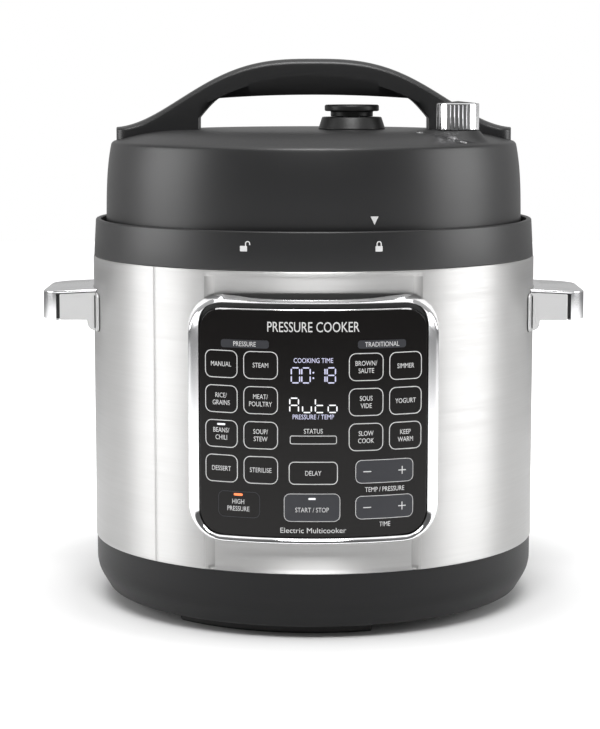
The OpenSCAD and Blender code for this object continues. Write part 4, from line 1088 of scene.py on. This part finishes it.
def bracket_arms(under):
    """The two arms with their feet, their edges a little rounded."""
    start = math.sqrt((BODY_R + 0.1) ** 2 - ARM_OUT**2)
    foot = start + FOOT_WIDE
    profile = fillet(
        [
            (start, FOOT_LOW, 0.4), (foot, FOOT_LOW, FOOT_R), (foot, ARM_LOW, 1.2), (ARM_END, ARM_LOW, 0.7),
            (ARM_END, plate_z(ARM_END, under), 0.9), (start, plate_z(start, under), 0.4),
        ],
        6,
    )
    middle = Vector(((start + ARM_END) / 2, ARM_LOW + 8))
    layers = [(ARM_IN, ARM_EDGE), (ARM_IN + ARM_EDGE, 0), (ARM_OUT - ARM_EDGE, 0), (ARM_OUT, ARM_EDGE)]
    arms = []
    for front in (-1, 1):
        rings = []
        for y, inset in layers:
            moved = [Vector(p) + (middle - Vector(p)).normalized() * inset for p in profile]
            rings.append([(p.x, front * y, p.y) for p in moved])
        arms.append(rings_to_mesh(rings))
    return arms


def bracket_shade_bow(end, under):
    """The dark bow between the arms, which shows in the gap before the bar: black plastic as painted shade
    in that gap.
    """
    near = BODY_R + 2
    outer, inner = (
        fillet([(near, -half, 0), (end - inset, -half, r), (end - inset, half, r), (near, half, 0)], 8)
        for half, inset, r in ((ARM_OUT - 1.2, 0, 9), (ARM_IN - 0.5, 3, 6))
    )
    low, drop = ARM_LOW + 0.6, under - 0.3
    rings = []
    for out, into in zip(outer, inner):
        ring = [(*out, low), (*out, plate_z(out[0], drop))]
        rings.append(ring + [(*into, plate_z(into[0], drop)), (*into, low)])
    return rings_to_mesh(rings)


def handle_bracket(side, name):
    """The satin bracket with its flange on the body, and the dark strips and bow behind it: painted shade
    in the joins and the gap.
    """
    low, high = cad_limits(name)
    under = PLATE_THICK + PLATE_GAP
    top = plate_z(BODY_R + 2, under)
    flange = curved_plate(BODY_R + 0.35, BODY_R + 1.2, FLANGE_HALF, FOOT_LOW, top, 3)
    back = curved_plate(BODY_R + 2.3, BODY_R + 3.6, ARM_IN + 1, FOOT_LOW + 0.6, top - 0.6, 2)
    mesh = mirrored(side, join(*bracket_arms(under), flange, back))
    add_piece(name + "_shell", *mesh, "housing", "satin_silver", [name])
    # Thin black plates on either side of the flange: painted shade in the joins at the body.
    wide = curved_plate(BODY_R + 0.02, BODY_R + 0.4, FLANGE_HALF + 0.5, FOOT_LOW - 0.2, top - 0.1, 3)
    narrow = curved_plate(BODY_R + 1.1, BODY_R + 1.7, ARM_OUT + 0.5, FOOT_LOW + 0.1, top - 0.1, 3)
    # The black bow fills the gap before the bar with painted shade.
    core = bracket_shade_bow(max(abs(low.x), high.x), under)
    mesh = mirrored(side, join(wide, narrow, core))
    add_piece(name + "_core", *mesh, "housing", "black_plastic", [name])


def side_handles():
    for side, word in ((-1, "left"), (1, "right")):
        handle_grip(side, word + "_handle_grip")
        handle_bracket(side, word + "_handle_bracket")


# ------------------------ inside

SPRING_TURNS, SPRING_WIRE = 5, 0.9


def sensor_coil():
    """The spring under the temperature sensor, a coil of round wire between the ends of the CAD spring."""
    low, high = cad_limits("sensor_spring")
    steps = 24
    count = SPRING_TURNS * steps
    r = high.x - SPRING_WIRE
    tall = high.z - low.z
    rise = tall - 2 * SPRING_WIRE
    rings = []
    for i in range(count + 1):
        a = math.tau * i / steps
        z = low.z + SPRING_WIRE + rise * i / count
        ring = []
        for k in range(12):
            b = math.tau * k / 12
            q = r + SPRING_WIRE * math.cos(b)
            ring.append((q * math.cos(a), q * math.sin(a), z + SPRING_WIRE * math.sin(b)))
        rings.append(ring)
    coil = add_piece("sensor_coil", *rings_to_mesh(rings), "housing", "screw_steel", ["sensor_spring"])
    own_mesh(coil)


# ------------------------ floor, light and camera


FLOOR_R = 3
GLOW_START, GLOW_FULL, GLOW = 0.15, 0.45, 0.9
MIRRORED_SHARE, MIRRORED_END = 0.9, 1.2
FAR_START, FAR_END, FAR_TONE = 0.9, 1.5, 0.3


def calculate(tree, operation, *values):
    """A sum or product of other nodes' values."""
    node = tree.nodes.new("ShaderNodeMath")
    node.operation = operation
    for value, socket in zip(values, node.inputs):
        link(tree, value, socket)
    return node.outputs["Value"]


def floor_paint():
    """Pale paint that brightens away from the object when seen directly, as an overexposed sweep does.

    Mirrored in the object, it glows a little near by and is darker far out.
    """
    paint = finish("floor_paint", (0.8, 0.8, 0.8), 0.9, mottle=0.004, grain_scale=60, Specular_IOR_Level=0)
    tree = paint.node_tree
    shader = tree.nodes["Principled BSDF"]
    coords = tree.nodes.new("ShaderNodeTexCoord")
    length = tree.nodes.new("ShaderNodeVectorMath")
    length.operation = "LENGTH"
    link(tree, coords.outputs["Object"], length.inputs[0])
    distance = length.outputs["Value"]
    path = tree.nodes.new("ShaderNodeLightPath")
    direct, mirrored_ray = path.outputs["Is Camera Ray"], path.outputs["Is Glossy Ray"]
    fade = remap(tree, distance, GLOW_START, GLOW_FULL, to_max=GLOW)
    near = remap(tree, distance, GLOW_FULL, MIRRORED_END, MIRRORED_SHARE, 0)
    visible = calculate(tree, "MULTIPLY_ADD", mirrored_ray, near, direct)
    shader.inputs["Emission Color"].default_value = (1, 1, 1, 1)
    link(tree, calculate(tree, "MULTIPLY", fade, visible), shader.inputs["Emission Strength"])
    tone = tree.nodes.new("ShaderNodeMix")
    tone.data_type = "RGBA"
    tone.inputs["B"].default_value = (FAR_TONE, FAR_TONE, FAR_TONE, 1)
    far = remap(tree, distance, FAR_START, FAR_END)
    link(tree, calculate(tree, "MULTIPLY", far, mirrored_ray), tone.inputs["Factor"])
    base = shader.inputs["Base Color"]
    link(tree, base.links[0].from_socket, tone.inputs["A"])
    link(tree, tone.outputs["Result"], base)
    return paint


def studio_floor():
    """A wide round pale floor."""
    segments = 96
    radii = (0.5, 1.5, FLOOR_R)
    turns = [math.tau * i / segments for i in range(segments)]
    points = [(0, 0, 0)] + [(r * math.cos(a), r * math.sin(a), 0) for r in radii for a in turns]
    faces = [(0, 1 + i, 1 + (i + 1) % segments) for i in range(segments)]
    for ring in range(len(radii) - 1):
        a, b = 1 + ring * segments, 1 + (ring + 1) * segments
        faces += [(a + i, b + i, b + (i + 1) % segments, a + (i + 1) % segments) for i in range(segments)]
    mesh = bpy.data.meshes.new("floor")
    mesh.from_pydata(points, [], faces)
    floor = bpy.data.objects.new("floor", mesh)
    bpy.context.scene.collection.objects.link(floor)
    mesh.materials.append(floor_paint())


def softbox(name, turn, height, distance, width, tall, radiance):
    """A rectangular light that faces the object from an angle round it; 0 is the camera's side."""
    light = bpy.data.lights.new(name, "AREA")
    light.shape = "RECTANGLE"
    light.size = width
    light.size_y = tall
    light.energy = radiance * math.pi * width * tall
    a = math.radians(turn)
    lamp = bpy.data.objects.new(name, light)
    lamp.location = (distance * math.sin(a), -distance * math.cos(a), height)
    aim = Vector((0, 0, 0.15)) - lamp.location
    lamp.rotation_euler = aim.to_track_quat("-Z", "Y").to_euler()
    lamp.visible_camera = False
    bpy.context.scene.collection.objects.link(lamp)


WORLD_TONES = [(0.05, 0.12), (0.45, 0.35), (1.0, 0.55)]


def studio_world():
    """A dim front, paler sides and back for reflections; plain white where it is seen directly."""
    world = bpy.data.worlds.new("studio")
    bpy.context.scene.world = world
    world.use_nodes = True
    tree = world.node_tree
    tree.nodes.clear()
    coords = tree.nodes.new("ShaderNodeTexCoord")
    split = tree.nodes.new("ShaderNodeSeparateXYZ")
    ramp = tree.nodes.new("ShaderNodeValToRGB")
    link(tree, coords.outputs["Generated"], split.inputs["Vector"])
    link(tree, remap(tree, split.outputs["Y"], -1, 1), ramp.inputs["Fac"])
    stops = ramp.color_ramp.elements
    stops.new(WORLD_TONES[1][0])
    for stop, (position, tone) in zip(stops, WORLD_TONES):
        stop.position = position
        stop.color = (tone, tone, tone, 1)
    ambient = tree.nodes.new("ShaderNodeBackground")
    seen = tree.nodes.new("ShaderNodeBackground")
    seen.inputs["Color"].default_value = (1, 1, 1, 1)
    path = tree.nodes.new("ShaderNodeLightPath")
    mix = tree.nodes.new("ShaderNodeMixShader")
    output = tree.nodes.new("ShaderNodeOutputWorld")
    link(tree, ramp.outputs["Color"], ambient.inputs["Color"])
    link(tree, path.outputs["Is Camera Ray"], mix.inputs["Fac"])
    link(tree, ambient.outputs["Background"], mix.inputs[1])
    link(tree, seen.outputs["Background"], mix.inputs[2])
    link(tree, mix.outputs["Shader"], output.inputs["Surface"])


def studio_lights():
    for side, word in ((-1, "left"), (1, "right")):
        turn = 84 * side
        softbox(word + "_softbox", turn, height=0.5, distance=1.5, width=0.95, tall=0.8, radiance=4.0)
    softbox("top_softbox", 0, height=1.7, distance=0.1, width=2.3, tall=2.0, radiance=1.03)
    softbox("front_softbox", 0, height=1.8, distance=1.3, width=1.0, tall=0.7, radiance=14.0)


CAMERA_AT = (0, -1.38, 0.3225)
CAMERA_PITCH, CAMERA_YAW = 7.4, 0.347
CAMERA_LENS, CAMERA_SENSOR = 110.1, 36


def camera():
    data = bpy.data.cameras.new("camera")
    data.sensor_width = CAMERA_SENSOR
    data.lens = CAMERA_LENS
    view = bpy.data.objects.new("camera", data)
    view.location = CAMERA_AT
    view.rotation_euler = (math.radians(90 - CAMERA_PITCH), 0, math.radians(CAMERA_YAW))
    bpy.context.scene.collection.objects.link(view)
    bpy.context.scene.camera = view


# ------------------------ build

finish_cad_nodes()
lid_shell()
carrying_arch()
steam_valve()
steam_dial()
steel_wall()
collar()
chrome_bezel()
touch_glass()
panel_print()
panel_lamps()
lock_marks()
side_handles()
sensor_coil()
studio_floor()
studio_world()
studio_lights()
camera()
bpy.context.scene.view_settings.view_transform = "Standard"
